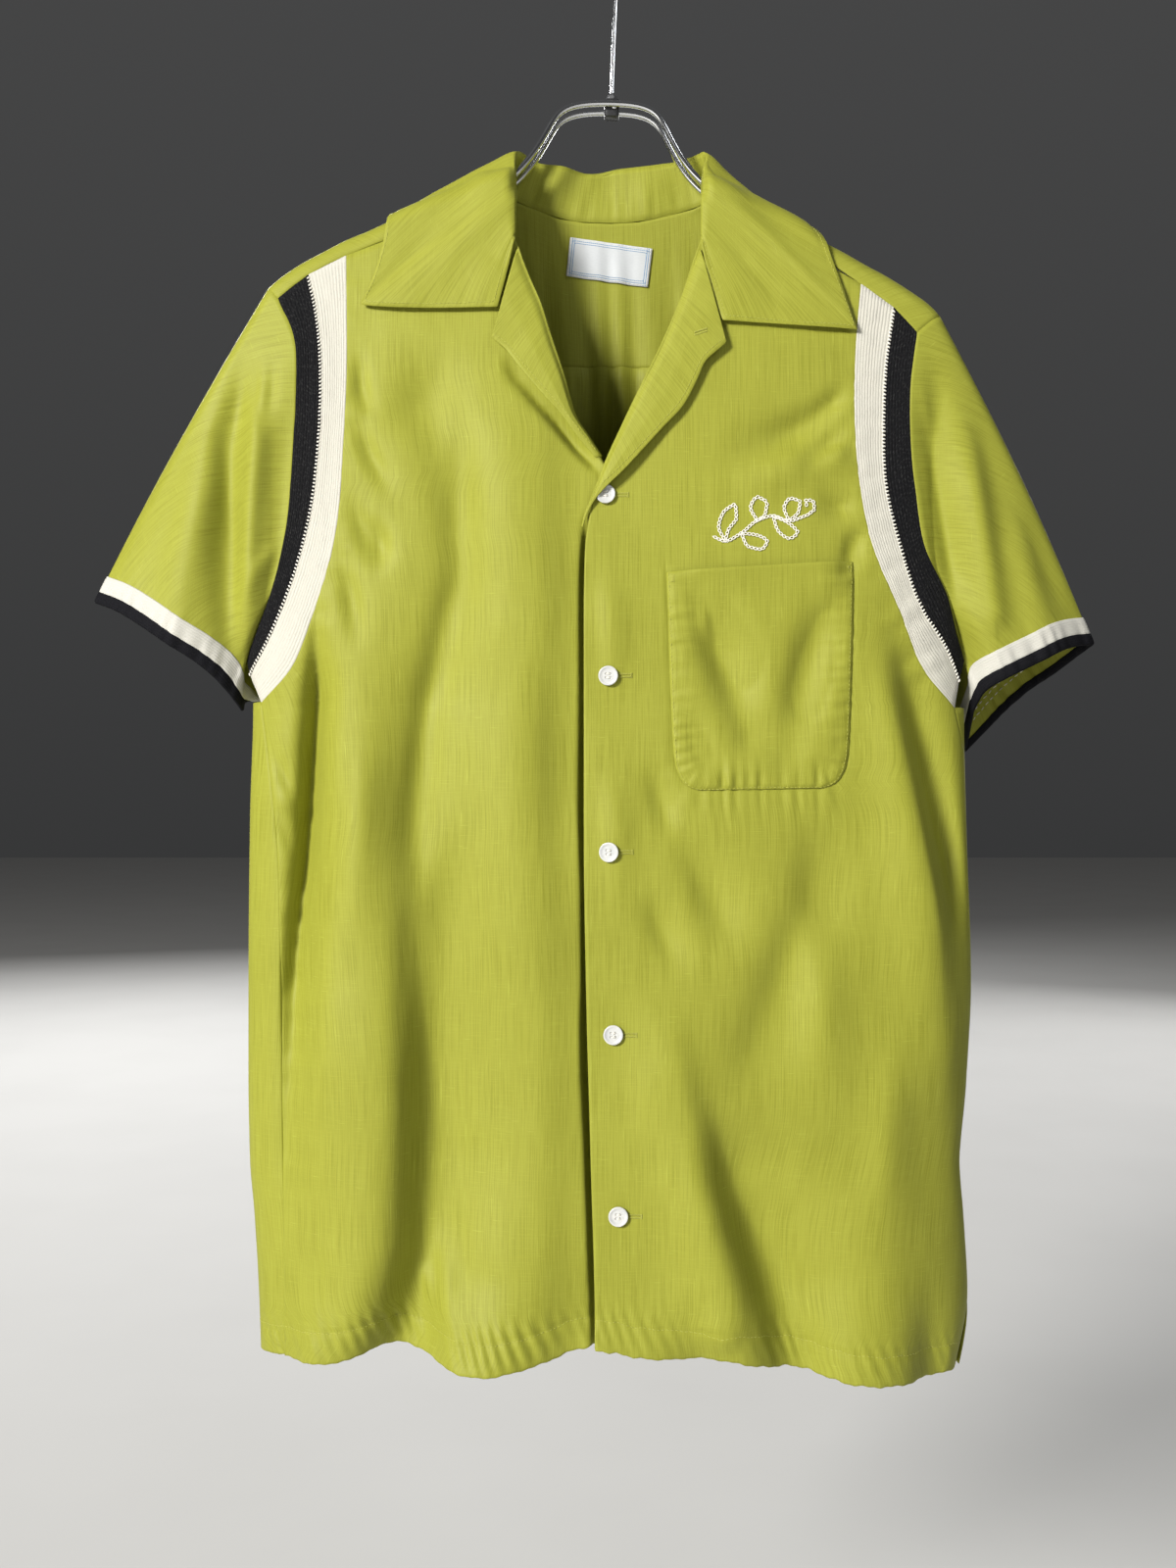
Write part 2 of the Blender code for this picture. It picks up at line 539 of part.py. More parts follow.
# Collar, section by section from the wearer's right notch round the neck to the left one:
# neck seam x, y, z; roll x, y, z; middle of the leaf x, y, z; edge of the leaf x, y, z
COLLAR = [
    (-66, -15, -226, -61.5, -20, -234, -66.5, -25, -256, -72.2, -28, -278.5),
    (-69, -14, -219, -61.3, -19, -222, -82, -26, -249, -96, -30, -278.6),
    (-72, -13, -211, -61.3, -18, -208, -96, -26, -242, -124, -30.5, -278.4),
    (-75, -12, -201, -61.3, -16, -194, -108, -24, -233, -158.3, -27, -274.7),
    (-77, -7, -190.4, -61.3, -12, -182, -104, -20, -214, -151.5, -23, -259),
    (-79, 0, -184.9, -61.5, -7, -174.5, -104, -13, -200, -146, -18, -240),
    (-75.5, 8, -186.4, -61.2, -1, -168.2, -101, -2, -189, -139.9, -3, -212),
    (-68, 15, -190.6, -57.5, 7, -166.6, -93, 14, -188, -128, 22, -216),
    (-57, 19, -195.2, -48, 13.5, -169.5, -74, 24, -190, -104, 33, -223),
    (-41, 20.8, -200.9, -33, 17, -170.5, -44, 27, -196, -60, 38, -232),
    (-20, 21.3, -205.4, -15.6, 18, -175, -18, 28, -203, -22, 40, -237),
    (3, 21.4, -206.1, 3, 18, -171.8, 4, 28, -203, 4, 40.5, -239),
    (24, 21, -204.4, 22, 17.5, -170.6, 24, 28, -203, 30, 40, -239),
    (44, 20, -200, 38, 16, -168.5, 47, 26.5, -196, 64, 37, -236),
    (59, 17.5, -195.8, 51.5, 11.5, -166.3, 74, 21, -191, 104, 31, -231),
    (67.5, 10, -192.4, 58.5, 5, -166.2, 89, 12, -192.5, 118, 19, -222),
    (71.5, 2, -189.6, 60.8, -1, -169, 93, 0, -196, 125, 0, -218),
    (70.6, -6, -192.6, 59.5, -7, -176, 96, -11, -208, 133, -12, -229),
    (66.4, -11.5, -204, 57.8, -12, -186, 98, -18, -222, 141, -19, -250),
    (64.2, -13, -213, 57, -15.5, -200, 104, -24, -240, 154.4, -26, -291),
    (63.2, -14, -222, 56.3, -17.5, -213, 92, -27, -250, 126, -31, -290),
    (62.5, -15, -229, 56.1, -18.7, -225, 80, -27, -255, 98, -32, -288.5),
    (60.5, -16, -235, 55.9, -20, -235, 61.5, -26.5, -261, 69.2, -29.5, -286.8),
]
COLLAR_CLEAR = 4.0


def off_body(p, clear):
    """Moves points out to lie at least this far off the fronts, yoke and back."""
    p = p.copy()
    x, y, z = p[..., 0], p[..., 1], p[..., 2]
    middle = ridge(x) - 13
    wide = np.where(y < 0, 18.7, 19.9) + clear
    tall = 13 + clear
    share = np.sqrt((y / wide) ** 2 + ((z - middle) / tall) ** 2)
    high = z > middle
    grow = np.where(high & (share < 1), 1 / np.maximum(share, 0.2), 1)
    ahead = np.minimum(y, front_y(x, z) - clear)
    behind = np.maximum(y, back_y(x, z) + clear)
    p[..., 1] = np.where(high, y * grow, np.where(y < 0, ahead, behind))
    p[..., 2] = np.where(high, middle + (z - middle) * grow, z)
    return p


def collar_grid(count, shares):
    """Grid of the collar: rows from neck seam over the roll to the leaf's edge."""
    table = np.array(COLLAR)
    at = np.linspace(0, len(COLLAR) - 1, count)
    keys = np.arange(len(COLLAR))
    lines = []
    for k in range(4):
        lines.append(np.stack([ease(keys, table[:, 3 * k + i], at) for i in range(3)], axis=-1))
    seam, roll, middle, edge = lines
    ahead = np.minimum(seam[:, 1], front_y(seam[:, 0], seam[:, 2]) - 2.3)
    blend = np.clip((-seam[:, 1] - 2) / 5, 0, 1)
    seam[:, 1] += (ahead - seam[:, 1]) * blend
    ahead = np.minimum(roll[:, 1], front_y(roll[:, 0], roll[:, 2]) - 4.2)
    blend = np.clip((-198 - roll[:, 2]) / 10, 0, 1)
    roll[:, 1] += (ahead - roll[:, 1]) * blend
    out = unit((edge - roll)[:, :2]) * np.clip((roll[:, 1:2] + 14) / 10, 0, 1)
    rows = []
    for s in shares:
        if s < 0:
            t = s + 1
            p = seam + (roll - seam) * t
            p[:, 1] += 1.0 * math.sin(math.pi * t**2) * np.clip(-roll[:, 1] / 10, 0, 1)
        else:
            a = (1 - s) ** 2
            b = 2 * s * (1 - s)
            c = s * s
            pull = middle + (middle - (roll + edge) / 2) * 0.9
            p = a * roll + b * pull + c * edge
            p[:, :2] += out * 2.0 * s / 0.06 * math.exp(1 - s / 0.06)
            p = off_body(p, COLLAR_CLEAR + 1.6 * max(0.0, 1 - s / 0.4)) if s > 0.03 else p
        rows.append(p)
    return np.array(rows)


COLLAR_SHARES = [-1, -0.5, -0.12, 0, 0.06, 0.2, 0.4, 0.6, 0.8, 1]

# Lapels, from the collar down to the bottom of the opening: x and z on the roll, x and z on
# the outer edge, height over the front
RIGHT_LAPEL = [
    (-59.8, -239, -75.3, -298.5, 4), (-56, -250.5, -73, -300.8, 4), (-51, -263, -70.3, -303, 4),
    (-46, -275, -67, -305.5, 4), (-39.5, -297, -56, -315, 3.8), (-31.5, -322, -42, -330, 3.5),
    (-24.5, -347, -29.5, -347.5, 3.2), (-15.5, -361.4, -18.6, -362.8, 2.8),
    (-7.5, -373.7, -10.3, -375.3, 2.6),
]
LEFT_LAPEL = [
    (56, -241, 71.1, -301.5, 4), (51.5, -252, 69, -303.6, 4), (47.5, -262.5, 66.9, -305.4, 4),
    (44.5, -271, 64.5, -307.5, 4), (39, -285, 57.9, -314, 4), (30, -306, 52, -327, 4),
    (21, -324.5, 44, -342, 4), (8, -352, 30, -357.5, 4), (-2.6, -376, 6.4, -383.7, 5),
    (-8.6, -391, -3.6, -396.5, 6.6), (-14.4, -409.5, -11.8, -411.2, 5.4),
]


def lapel_grid(table, push):
    """Grid of a lapel: rows along the roll, columns from the roll out to the edge."""
    t = np.array(table)
    width = np.hypot(t[:, 2] - t[:, 0], t[:, 3] - t[:, 1])
    drop = 0.5 * np.clip((width - 8) / 12, 0, 1)
    rows = []
    for s, high in ((0, 1.0 - drop), (0.12, 1.0 + 0.2 * drop), (0.5, 1.0), (1, 0.9)):
        x = t[:, 0] + (t[:, 2] - t[:, 0]) * s
        z = t[:, 1] + (t[:, 3] - t[:, 1]) * s
        y = front_y(x, z) + push - t[:, 4] * high
        rows.append(np.stack([x, y, z], axis=-1))
    return np.array(rows)


# Chest pocket: outline of its lower half as half widths down from the mouth: share of the
# depth, share of the half width
POCKET = [(0, 1), (0.25, 1), (0.5, 1), (0.72, 0.995), (0.84, 0.985), (0.91, 0.955), (0.96, 0.895),
          (0.987, 0.81), (1, 0.7)]
POCKET_TOP = ((33.5, -446.6), (150.6, -438.8))
POCKET_LOW = ((38, -582.2), (147, -580))
POCKET_COLS = 9


def pocket_flat(cols, shares):
    """x and z of the pocket: rows from mouth to lower edge, columns from -X to +X."""
    rows = []
    down = [p[0] for p in POCKET]
    wide = [p[1] for p in POCKET]
    u = np.linspace(-1, 1, cols + 1)
    for s in shares:
        left = np.add(POCKET_TOP[0], np.multiply(np.subtract(POCKET_LOW[0], POCKET_TOP[0]), s))
        right = np.add(POCKET_TOP[1], np.multiply(np.subtract(POCKET_LOW[1], POCKET_TOP[1]), s))
        w = float(ease(down, wide, [s])[0])
        mid = (left + right) / 2
        rows.append(mid + (right - left) / 2 * w * u[:, None])
    return np.array(rows)


def pocket_grid():
    flat = pocket_flat(POCKET_COLS, [p[0] for p in POCKET])
    x, z = flat[..., 0], flat[..., 1]
    reach = np.array([front_y(x + dx, z + dz) for dx in (-5, 0, 5) for dz in (-7, 0, 7)])
    y = reach.min(axis=0) - (WALL + GAP + 0.35)
    return np.stack([x, y, z], axis=-1)


# Buttons, top to bottom: x, z
BUTTONS = [(-4.5, -398), (-2.7, -510.8), (-2.1, -620), (0.3, -732.7), (3.3, -843.6)]
BUTTON_OUTLINE = [(0, -1), (5.2, -1), (6.1, -0.3), (6.1, 0.5), (5.5, 1.1), (4.7, 1.1), (4.1, 0.6), (0, 0.5)]

# Neck label: corners x, z from the upper -X corner clockwise
LABEL = [(-27, -215.5), (27.3, -222.7), (24.4, -246.6), (-29.6, -239.5)]

# Front wire of the hanger, from the -X tip over the centre to the +X tip: x, z
WIRE = [
    (-213, -258.5), (-203, -252), (-184, -241.5), (-171, -234.8), (-156, -227.5), (-140, -220),
    (-124, -213), (-107, -206), (-95, -201.6), (-84, -198), (-75, -193.8), (-68, -189.6),
    (-61.7, -184.8), (-55.4, -177.9), (-49.1, -169.7), (-43.9, -161.3), (-38.7, -151.9),
    (-35.5, -146.9), (-31.3, -143.5), (-24.1, -141), (-15.6, -139.8), (1, -139.6), (15.6, -140.7),
    (24.1, -143), (30.4, -147.3), (34.6, -155), (39.9, -165.4), (47.2, -177.9), (57.7, -189.8),
    (68, -197.4), (80, -202.5), (92, -207.8), (105, -215.2), (120, -224), (137, -236.2),
    (150, -243.2), (163, -250.6), (176, -257.8), (192, -267.5), (202, -275),
]
WIRE_RADIUS = 2.1
WIRE_Y = 7.0
HOOK_RADIUS = 1.6
SHANK = [
    (0.4, -130.5), (0.9, -116), (1.5, -100), (2.2, -84), (2.9, -69.5), (3.9, -58.5),
    (6.7, -48.5), (11, -40.6), (16.05, -34.45),
]
HOOK_CENTRE_Z = -20.0
HOOK_BEND = 21.6


def unit(v):
    return v / np.maximum(np.linalg.norm(v, axis=-1, keepdims=True), 1e-9)


def normals(grid, closed):
    """Unit normal at each point of a grid, from its neighbours."""
    along_rows = np.gradient(grid, axis=0)
    if closed:
        along_cols = np.roll(grid, -1, axis=1) - np.roll(grid, 1, axis=1)
    else:
        along_cols = np.gradient(grid, axis=1)
    return unit(np.cross(along_cols, along_rows))


class Piece:
    """One sewn piece: a grid of middle points, its thickness and the way it faces."""

    def __init__(self, name, grid, slot, facing, thick=WALL, closed=False, inset=(1, 1, 1, 1)):
        self.name = name
        self.grid = np.array(grid, float)
        self.slot = slot
        self.thick = thick
        self.closed = closed
        self.inset = inset
        self.normal = normals(self.grid, closed)
        if closed:
            centre = self.grid.mean(axis=1, keepdims=True)
            turned = np.sum(self.normal * (self.grid - centre)) < 0
        else:
            turned = np.sum(self.normal * np.array(facing, float)) < 0
        self.turned = bool(turned)
        if turned:
            self.normal = -self.normal


def share_normals(pieces):
    """Gives points that neighbours have in common one normal, so that their edges face."""
    sums = {}
    for piece in pieces:
        keys = [tuple(k) for k in np.round(piece.grid.reshape(-1, 3), 2)]
        for key, n in zip(keys, piece.normal.reshape(-1, 3)):
            sums[key] = sums.get(key, 0) + n
    for piece in pieces:
        keys = [tuple(k) for k in np.round(piece.grid.reshape(-1, 3), 2)]
        piece.normal = unit(np.array([sums[k] for k in keys])).reshape(piece.grid.shape)


def drawn_in(piece):
    """The grid with its edges drawn back from the seam by half the gap."""
    grid = piece.grid.copy()
    half = GAP / 2
    source = piece.grid
    low_row, high_row, low_col, high_col = piece.inset
    if low_row:
        grid[0] += unit(source[1] - source[0]) * half * low_row
    if high_row:
        grid[-1] += unit(source[-2] - source[-1]) * half * high_row
    if not piece.closed:
        if low_col:
            grid[:, 0] += unit(source[:, 1] - source[:, 0]) * half * low_col
        if high_col:
            grid[:, -1] += unit(source[:, -2] - source[:, -1]) * half * high_col
    return grid


def shell(piece):
    """Vertices and faces of the closed wall of a piece."""
    grid = drawn_in(piece)
    rows, cols = grid.shape[:2]
    outer = grid + piece.normal * piece.thick / 2
    inner = grid - piece.normal * piece.thick / 2
    points = np.concatenate([outer.reshape(-1, 3), inner.reshape(-1, 3)])
    count = rows * cols
    faces = []
    wraps = cols if piece.closed else cols - 1
    for i in range(rows - 1):
        for j in range(wraps):
            k = (j + 1) % cols
            a, b, c, d = i * cols + j, i * cols + k, (i + 1) * cols + k, (i + 1) * cols + j
            faces += [(a, b, c), (a, c, d)]
            faces += [(count + c, count + b, count + a), (count + d, count + c, count + a)]
    for j in range(wraps):
        k = (j + 1) % cols
        faces.append((j, count + j, count + k, k))
        base = (rows - 1) * cols
        faces.append((base + k, count + base + k, count + base + j, base + j))
    if not piece.closed:
        for i in range(rows - 1):
            a, b = i * cols, (i + 1) * cols
            faces.append((a, b, count + b, count + a))
            a, b = i * cols + cols - 1, (i + 1) * cols + cols - 1
            faces.append((a, count + a, count + b, b))
    if piece.turned:
        faces = [face[::-1] for face in faces]
    return points, faces


def material(name, colour, metal, rough):
    found = bpy.data.materials.get(name)
    if found:
        return found
    made = bpy.data.materials.new(name)
    made.use_nodes = True
    node = made.node_tree.nodes["Principled BSDF"]
    node.inputs["Base Color"].default_value = (*colour, 1)
    node.inputs["Metallic"].default_value = metal
    node.inputs["Roughness"].default_value = rough
    made.diffuse_color = (*colour, 1)
    return made


LOOKS = {
    "lime_cloth": ((0.42, 0.45, 0.055), 0.0, 0.75),
    "white_knit": ((0.87, 0.84, 0.74), 0.0, 0.85),
    "black_knit": ((0.018, 0.019, 0.022), 0.0, 0.85),
    "white_tape": ((0.86, 0.84, 0.78), 0.0, 0.7),
    "black_tape": ((0.015, 0.016, 0.02), 0.0, 0.7),
    "pearl_button": ((0.85, 0.85, 0.83), 0.0, 0.25),
    "label_cloth": ((0.85, 0.87, 0.88), 0.0, 0.6),
    "chrome": ((0.8, 0.8, 0.82), 1.0, 0.15),
    "dark_clip": ((0.03, 0.03, 0.03), 0.3, 0.4),
}


def add_mesh(collection, name, slot, points, faces):
    mesh = bpy.data.meshes.new(name)
    work = bmesh.new()
    made = [work.verts.new([float(c) * MM for c in p]) for p in points]
    for face in faces:
        work.faces.new([made[i] for i in face])
    work.to_mesh(mesh)
    work.free()
    item = bpy.data.objects.new(name, mesh)
    mesh.materials.append(material(slot, *LOOKS[slot]))
    collection.objects.link(item)
    return item


def add_wire(collection, name, slot, points, radius, cyclic):
    curve = bpy.data.curves.new(name, "CURVE")
    curve.dimensions = "3D"
    curve.bevel_depth = radius * MM
    curve.bevel_resolution = 2
    curve.use_fill_caps = not cyclic
    spline = curve.splines.new("POLY")
    spline.points.add(len(points) - 1)
    for point, place in zip(spline.points, points):
        point.co = (place[0] * MM, place[1] * MM, place[2] * MM, 1)
    spline.use_cyclic_u = cyclic
    curve.materials.append(material(slot, *LOOKS[slot]))
    item = bpy.data.objects.new(name, curve)
    collection.objects.link(item)
    return item


def turned_solid(outline, steps, centre, axis):
    """A turned solid: outline as radius and height along the axis, both ends on the axis."""
    axis = unit(np.array(axis, float))
    side = unit(np.cross(axis, (0.3, 0.1, 1.0)))
    other = np.cross(axis, side)
    points = [np.array(centre) + axis * outline[0][1]]
    for radius, high in outline[1:-1]:
        for k in range(steps):
            turn = 2 * math.pi * k / steps
            points.append(
                np.array(centre) + axis * high + radius * (side * math.cos(turn) + other * math.sin(turn))
            )
    points.append(np.array(centre) + axis * outline[-1][1])
    faces = []
    rings = len(outline) - 2
    for k in range(steps):
        n = (k + 1) % steps
        faces.append((0, 1 + n, 1 + k))
        last = 1 + (rings - 1) * steps
        faces.append((last + k, last + n, len(points) - 1))
        for r in range(rings - 1):
            a = 1 + r * steps
            faces.append((a + k, a + n, a + steps + n, a + steps + k))
    return points, faces


def insert_grids(table):
    inner, middle, outer = insert_lines(table)
    white = [inner, (inner + middle) / 2, middle]
    black = [middle, (middle + outer) / 2, outer]
    return front_points(np.stack(white, axis=1)), front_points(np.stack(black, axis=1))


def sewn_pieces():
    right = front_points(front_panel(RIGHT_EDGE, right_side, RIGHT_INSERT))
    left = front_points(front_panel(LEFT_EDGE, left_side, LEFT_INSERT))
    under = np.clip((right[..., 0] + 48) / 24, 0, 1)
    tuck = under * under * (3 - 2 * under)
    right[..., 1] += 2.6 * tuck
    yoke = yoke_panel()
    back = back_panel()
    right_white, right_black = insert_grids(RIGHT_INSERT)
    left_white, left_black = insert_grids(LEFT_INSERT)
    arm_rows = np.linspace(0, 1, ARM_ROWS + 1)
    right_arm = along(RIGHT_BACK_ARM, arm_rows)
    left_arm = along(LEFT_BACK_ARM, arm_rows)
    right_arm[-1, 1] = yoke_seam_z(right_arm[-1, 0])
    left_arm[-1, 1] = yoke_seam_z(left_arm[-1, 0])
    right_sleeve = sleeve_grid(insert_lines(RIGHT_INSERT)[2], yoke[:, 0], right_arm, RIGHT_SLEEVE_HEM)
    left_sleeve = sleeve_grid(insert_lines(LEFT_INSERT)[2], yoke[:, -1], left_arm, LEFT_SLEEVE_HEM)
    lime = "lime_cloth"
    body_pieces = [
        Piece("front_right", right, lime, (0, -1, 0)),
        Piece("front_left", left, lime, (0, -1, 0), inset=(1, 1, 1, 2)),
        Piece("back", back, lime, (0, 1, 0), inset=(1, 1, 1, 2.5)),
        Piece("yoke", yoke, lime, (0, 0, 1)),
        Piece("insert_white_right", right_white, "white_knit", (0, -1, 0)),
        Piece("insert_white_left", left_white, "white_knit", (0, -1, 0)),
        Piece("insert_black_right", right_black, "black_knit", (0, -1, 0), inset=(2, 1, 1, 4)),
        Piece("insert_black_left", left_black, "black_knit", (0, -1, 0), inset=(2, 1, 1, 4)),
        Piece("sleeve_right", right_sleeve, lime, (0, 0, 0), closed=True, inset=(4, 1, 0, 0)),
        Piece("sleeve_left", left_sleeve, lime, (0, 0, 0), closed=True, inset=(4, 1, 0, 0)),
    ]
    share_normals(body_pieces)
    laid = []
    for name, sleeve in (("right", body_pieces[-2]), ("left", body_pieces[-1])):
        over = WALL / 2 + GAP + 0.5
        grid = sleeve.grid + sleeve.normal * over
        laid.append(Piece(f"cuff_white_{name}", grid[-3:-1], "white_tape", (0, 0, 0), 1.0, True))
        laid.append(Piece(f"cuff_black_{name}", grid[-2:], "black_tape", (0, 0, 0), 1.0, True))
        for cuff, rows in ((laid[-2], slice(-3, -1)), (laid[-1], slice(-2, None))):
            cuff.normal = sleeve.normal[rows]
    collar = collar_grid(37, COLLAR_SHARES)
    laid.append(Piece("collar", collar, lime, (0, 0, 0)))
    laid[-1].turned = False
    laid.append(Piece("lapel_right", lapel_grid(RIGHT_LAPEL, 0), lime, (0, -1, 0)))
    laid.append(Piece("lapel_left", lapel_grid(LEFT_LAPEL, 0), lime, (0, -1, 0)))
    laid.append(Piece("pocket", pocket_grid(), lime, (0, -1, 0)))
    corners = np.array(LABEL)
    u = np.linspace(0, 1, 5)[:, None]
    flat = []
    for v in (0, 0.5, 1):
        start = corners[0] + (corners[3] - corners[0]) * v
        end = corners[1] + (corners[2] - corners[1]) * v
        flat.append(start + (end - start) * u)
    label = back_points(np.array(flat))
    label[..., 1] -= WALL / 2 + GAP + 0.5 + 0.4
    laid.append(Piece("neck_label", label, "label_cloth", (0, -1, 0), 0.6))
    return body_pieces + laid


def hanger_path():
    flat = np.array(WIRE)
    front = along(flat, np.linspace(0, 1, 46))
    ends = []
    for tip, way in ((front[-1], 1), (front[0], -1)):
        bend = []
        for turn in np.radians([-60, -20, 20, 60]):
            bend.append((tip[0] + way * WIRE_Y * 0.8 * math.cos(turn), way * WIRE_Y * math.sin(turn),
                         tip[1] - 5.5 * math.cos(turn)))
        ends.append(bend)
    path = [(x, -WIRE_Y, z) for x, z in front]
    path += ends[0]
    path += [(x, WIRE_Y, z) for x, z in front[::-1]]
    path += [(x, y, z) for x, y, z in ends[1]]
    return path


def hook_path():
    path = [(x, 0, z) for x, z in along(np.array(SHANK), np.linspace(0, 1, 14))]
    for turn in np.radians(np.arange(-28, 215, 14)):
        path.append((HOOK_BEND * math.cos(turn), 0, HOOK_CENTRE_Z + HOOK_BEND * math.sin(turn)))
    return path


def clip_block():
    """The block that holds both wires, with its front and back edges cut off."""
    points = []
    for z in (-146.2, -135.2):
        for x, y in ((-4.8, -3.2), (-3.4, -4.5), (3.4, -4.5), (4.8, -3.2),
                     (4.8, 3.2), (3.4, 4.5), (-3.4, 4.5), (-4.8, 3.2)):
            points.append((x, y, z))
    faces = [tuple(range(7, -1, -1)), tuple(range(8, 16))]
    for k in range(8):
        n = (k + 1) % 8
        faces.append((k, n, n + 8, k + 8))
    return points, faces


def build():
    for item in list(bpy.data.objects):
        bpy.data.objects.remove(item)
    collection = bpy.data.collections.new("bowling_shirt_on_hanger")
    bpy.context.scene.collection.children.link(collection)
    for piece in sewn_pieces():
        points, faces = shell(piece)
        add_mesh(collection, piece.name, piece.slot, points, faces)
    for number, (x, z) in enumerate(BUTTONS, 1):
        y = float(front_y(x, z))
        lean = (float(front_y(x + 4, z)) - float(front_y(x - 4, z))) / 8
        drop = (float(front_y(x, z + 4)) - float(front_y(x, z - 4))) / 8
        axis = unit(np.array([lean, -1.0, drop]))
        centre = np.array([x, y, z]) + axis * (WALL / 2 + GAP + 1.2)
        points, faces = turned_solid(BUTTON_OUTLINE, 18, centre, axis)
        add_mesh(collection, f"button_{number}", "pearl_button", points, faces)
    add_wire(collection, "hanger_frame", "chrome", hanger_path(), WIRE_RADIUS, True)
    add_wire(collection, "hanger_hook", "chrome", hook_path(), HOOK_RADIUS, False)
    nut = [(0, -4.9), (3.5, -4.9), (3.5, -2), (2.6, -0.8), (0, -0.8)]
    points, faces = turned_solid(nut, 6, (0.3, 0, -130), (0, 0, 1))
    add_mesh(collection, "hanger_nut", "chrome", points, faces)
    points, faces = clip_block()
    add_mesh(collection, "hanger_block", "dark_clip", points, faces)


build()
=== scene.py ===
"""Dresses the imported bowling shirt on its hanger: cloth with its folds, seams and stitches.

Lengths in the tables are millimetres, with the shirt's front toward -Y, the wearer's left
toward +X and the origin under the hook's bend. Pieces are made from the same tables as the
solids, on finer grids.
"""

import math

import bpy
import mathutils
import numpy as np
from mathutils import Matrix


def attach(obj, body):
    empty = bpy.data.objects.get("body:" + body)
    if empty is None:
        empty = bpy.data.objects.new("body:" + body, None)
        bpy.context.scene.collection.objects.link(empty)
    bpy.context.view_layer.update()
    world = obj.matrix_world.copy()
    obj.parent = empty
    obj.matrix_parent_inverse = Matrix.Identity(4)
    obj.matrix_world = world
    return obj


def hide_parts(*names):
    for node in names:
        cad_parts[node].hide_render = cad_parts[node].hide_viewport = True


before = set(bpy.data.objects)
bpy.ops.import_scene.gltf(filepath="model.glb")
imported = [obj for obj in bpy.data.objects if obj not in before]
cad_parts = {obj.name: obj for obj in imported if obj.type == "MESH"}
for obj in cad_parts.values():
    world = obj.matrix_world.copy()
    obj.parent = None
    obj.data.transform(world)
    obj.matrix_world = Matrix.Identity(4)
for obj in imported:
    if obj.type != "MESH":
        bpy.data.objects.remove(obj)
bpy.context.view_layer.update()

MM = 0.001
CLOTH = 0.8  # thickness of the cloth as it is drawn
RIB = 2.4  # pitch of the knit's ribs
FRONTWARD = (0, -1, 0)
BACKWARD = (0, 1, 0)

# Top of the shoulders, seen from the front: x, z
RIDGE = [
    (-240, -286), (-222, -259.6), (-203, -244.5), (-184, -234), (-171, -227.2), (-156, -221),
    (-140, -213.5), (-107, -199.5), (-95, -194), (-80, -187), (-60, -185), (0, -186), (58, -189),
    (72, -191.5), (90, -199), (99, -204), (120, -216), (137, -228.5), (150, -235.5), (163, -243),
    (176, -250), (192, -260), (202, -267), (210, -275), (215, -283.5), (226, -306),
]

# Body at each height: z, half width on -X, half width on +X, side y, front depth, back depth
BODY = [
    (-962, 226, 220, 2, 57, 50),
    (-905, 228, 230, 2, 56, 50),
    (-855, 231, 227.5, 2, 54, 50),
    (-820, 234, 225, 2, 53, 50),
    (-765, 235, 229.5, 2, 52, 50),
    (-705, 235, 232.5, 2, 51, 49),
    (-600, 234, 229.5, 2, 50, 48),
    (-530, 232, 228, 2, 49, 47),
    (-498, 236, 228, 1, 49, 46),
    (-470, 235, 226, 0, 49, 46),
    (-430, 230, 219, 0, 49, 45),
    (-366, 226, 213, 0, 49, 45),
    (-300, 232, 215, 0, 50, 46),
    (-180, 244, 232, 0, 50, 46),
]

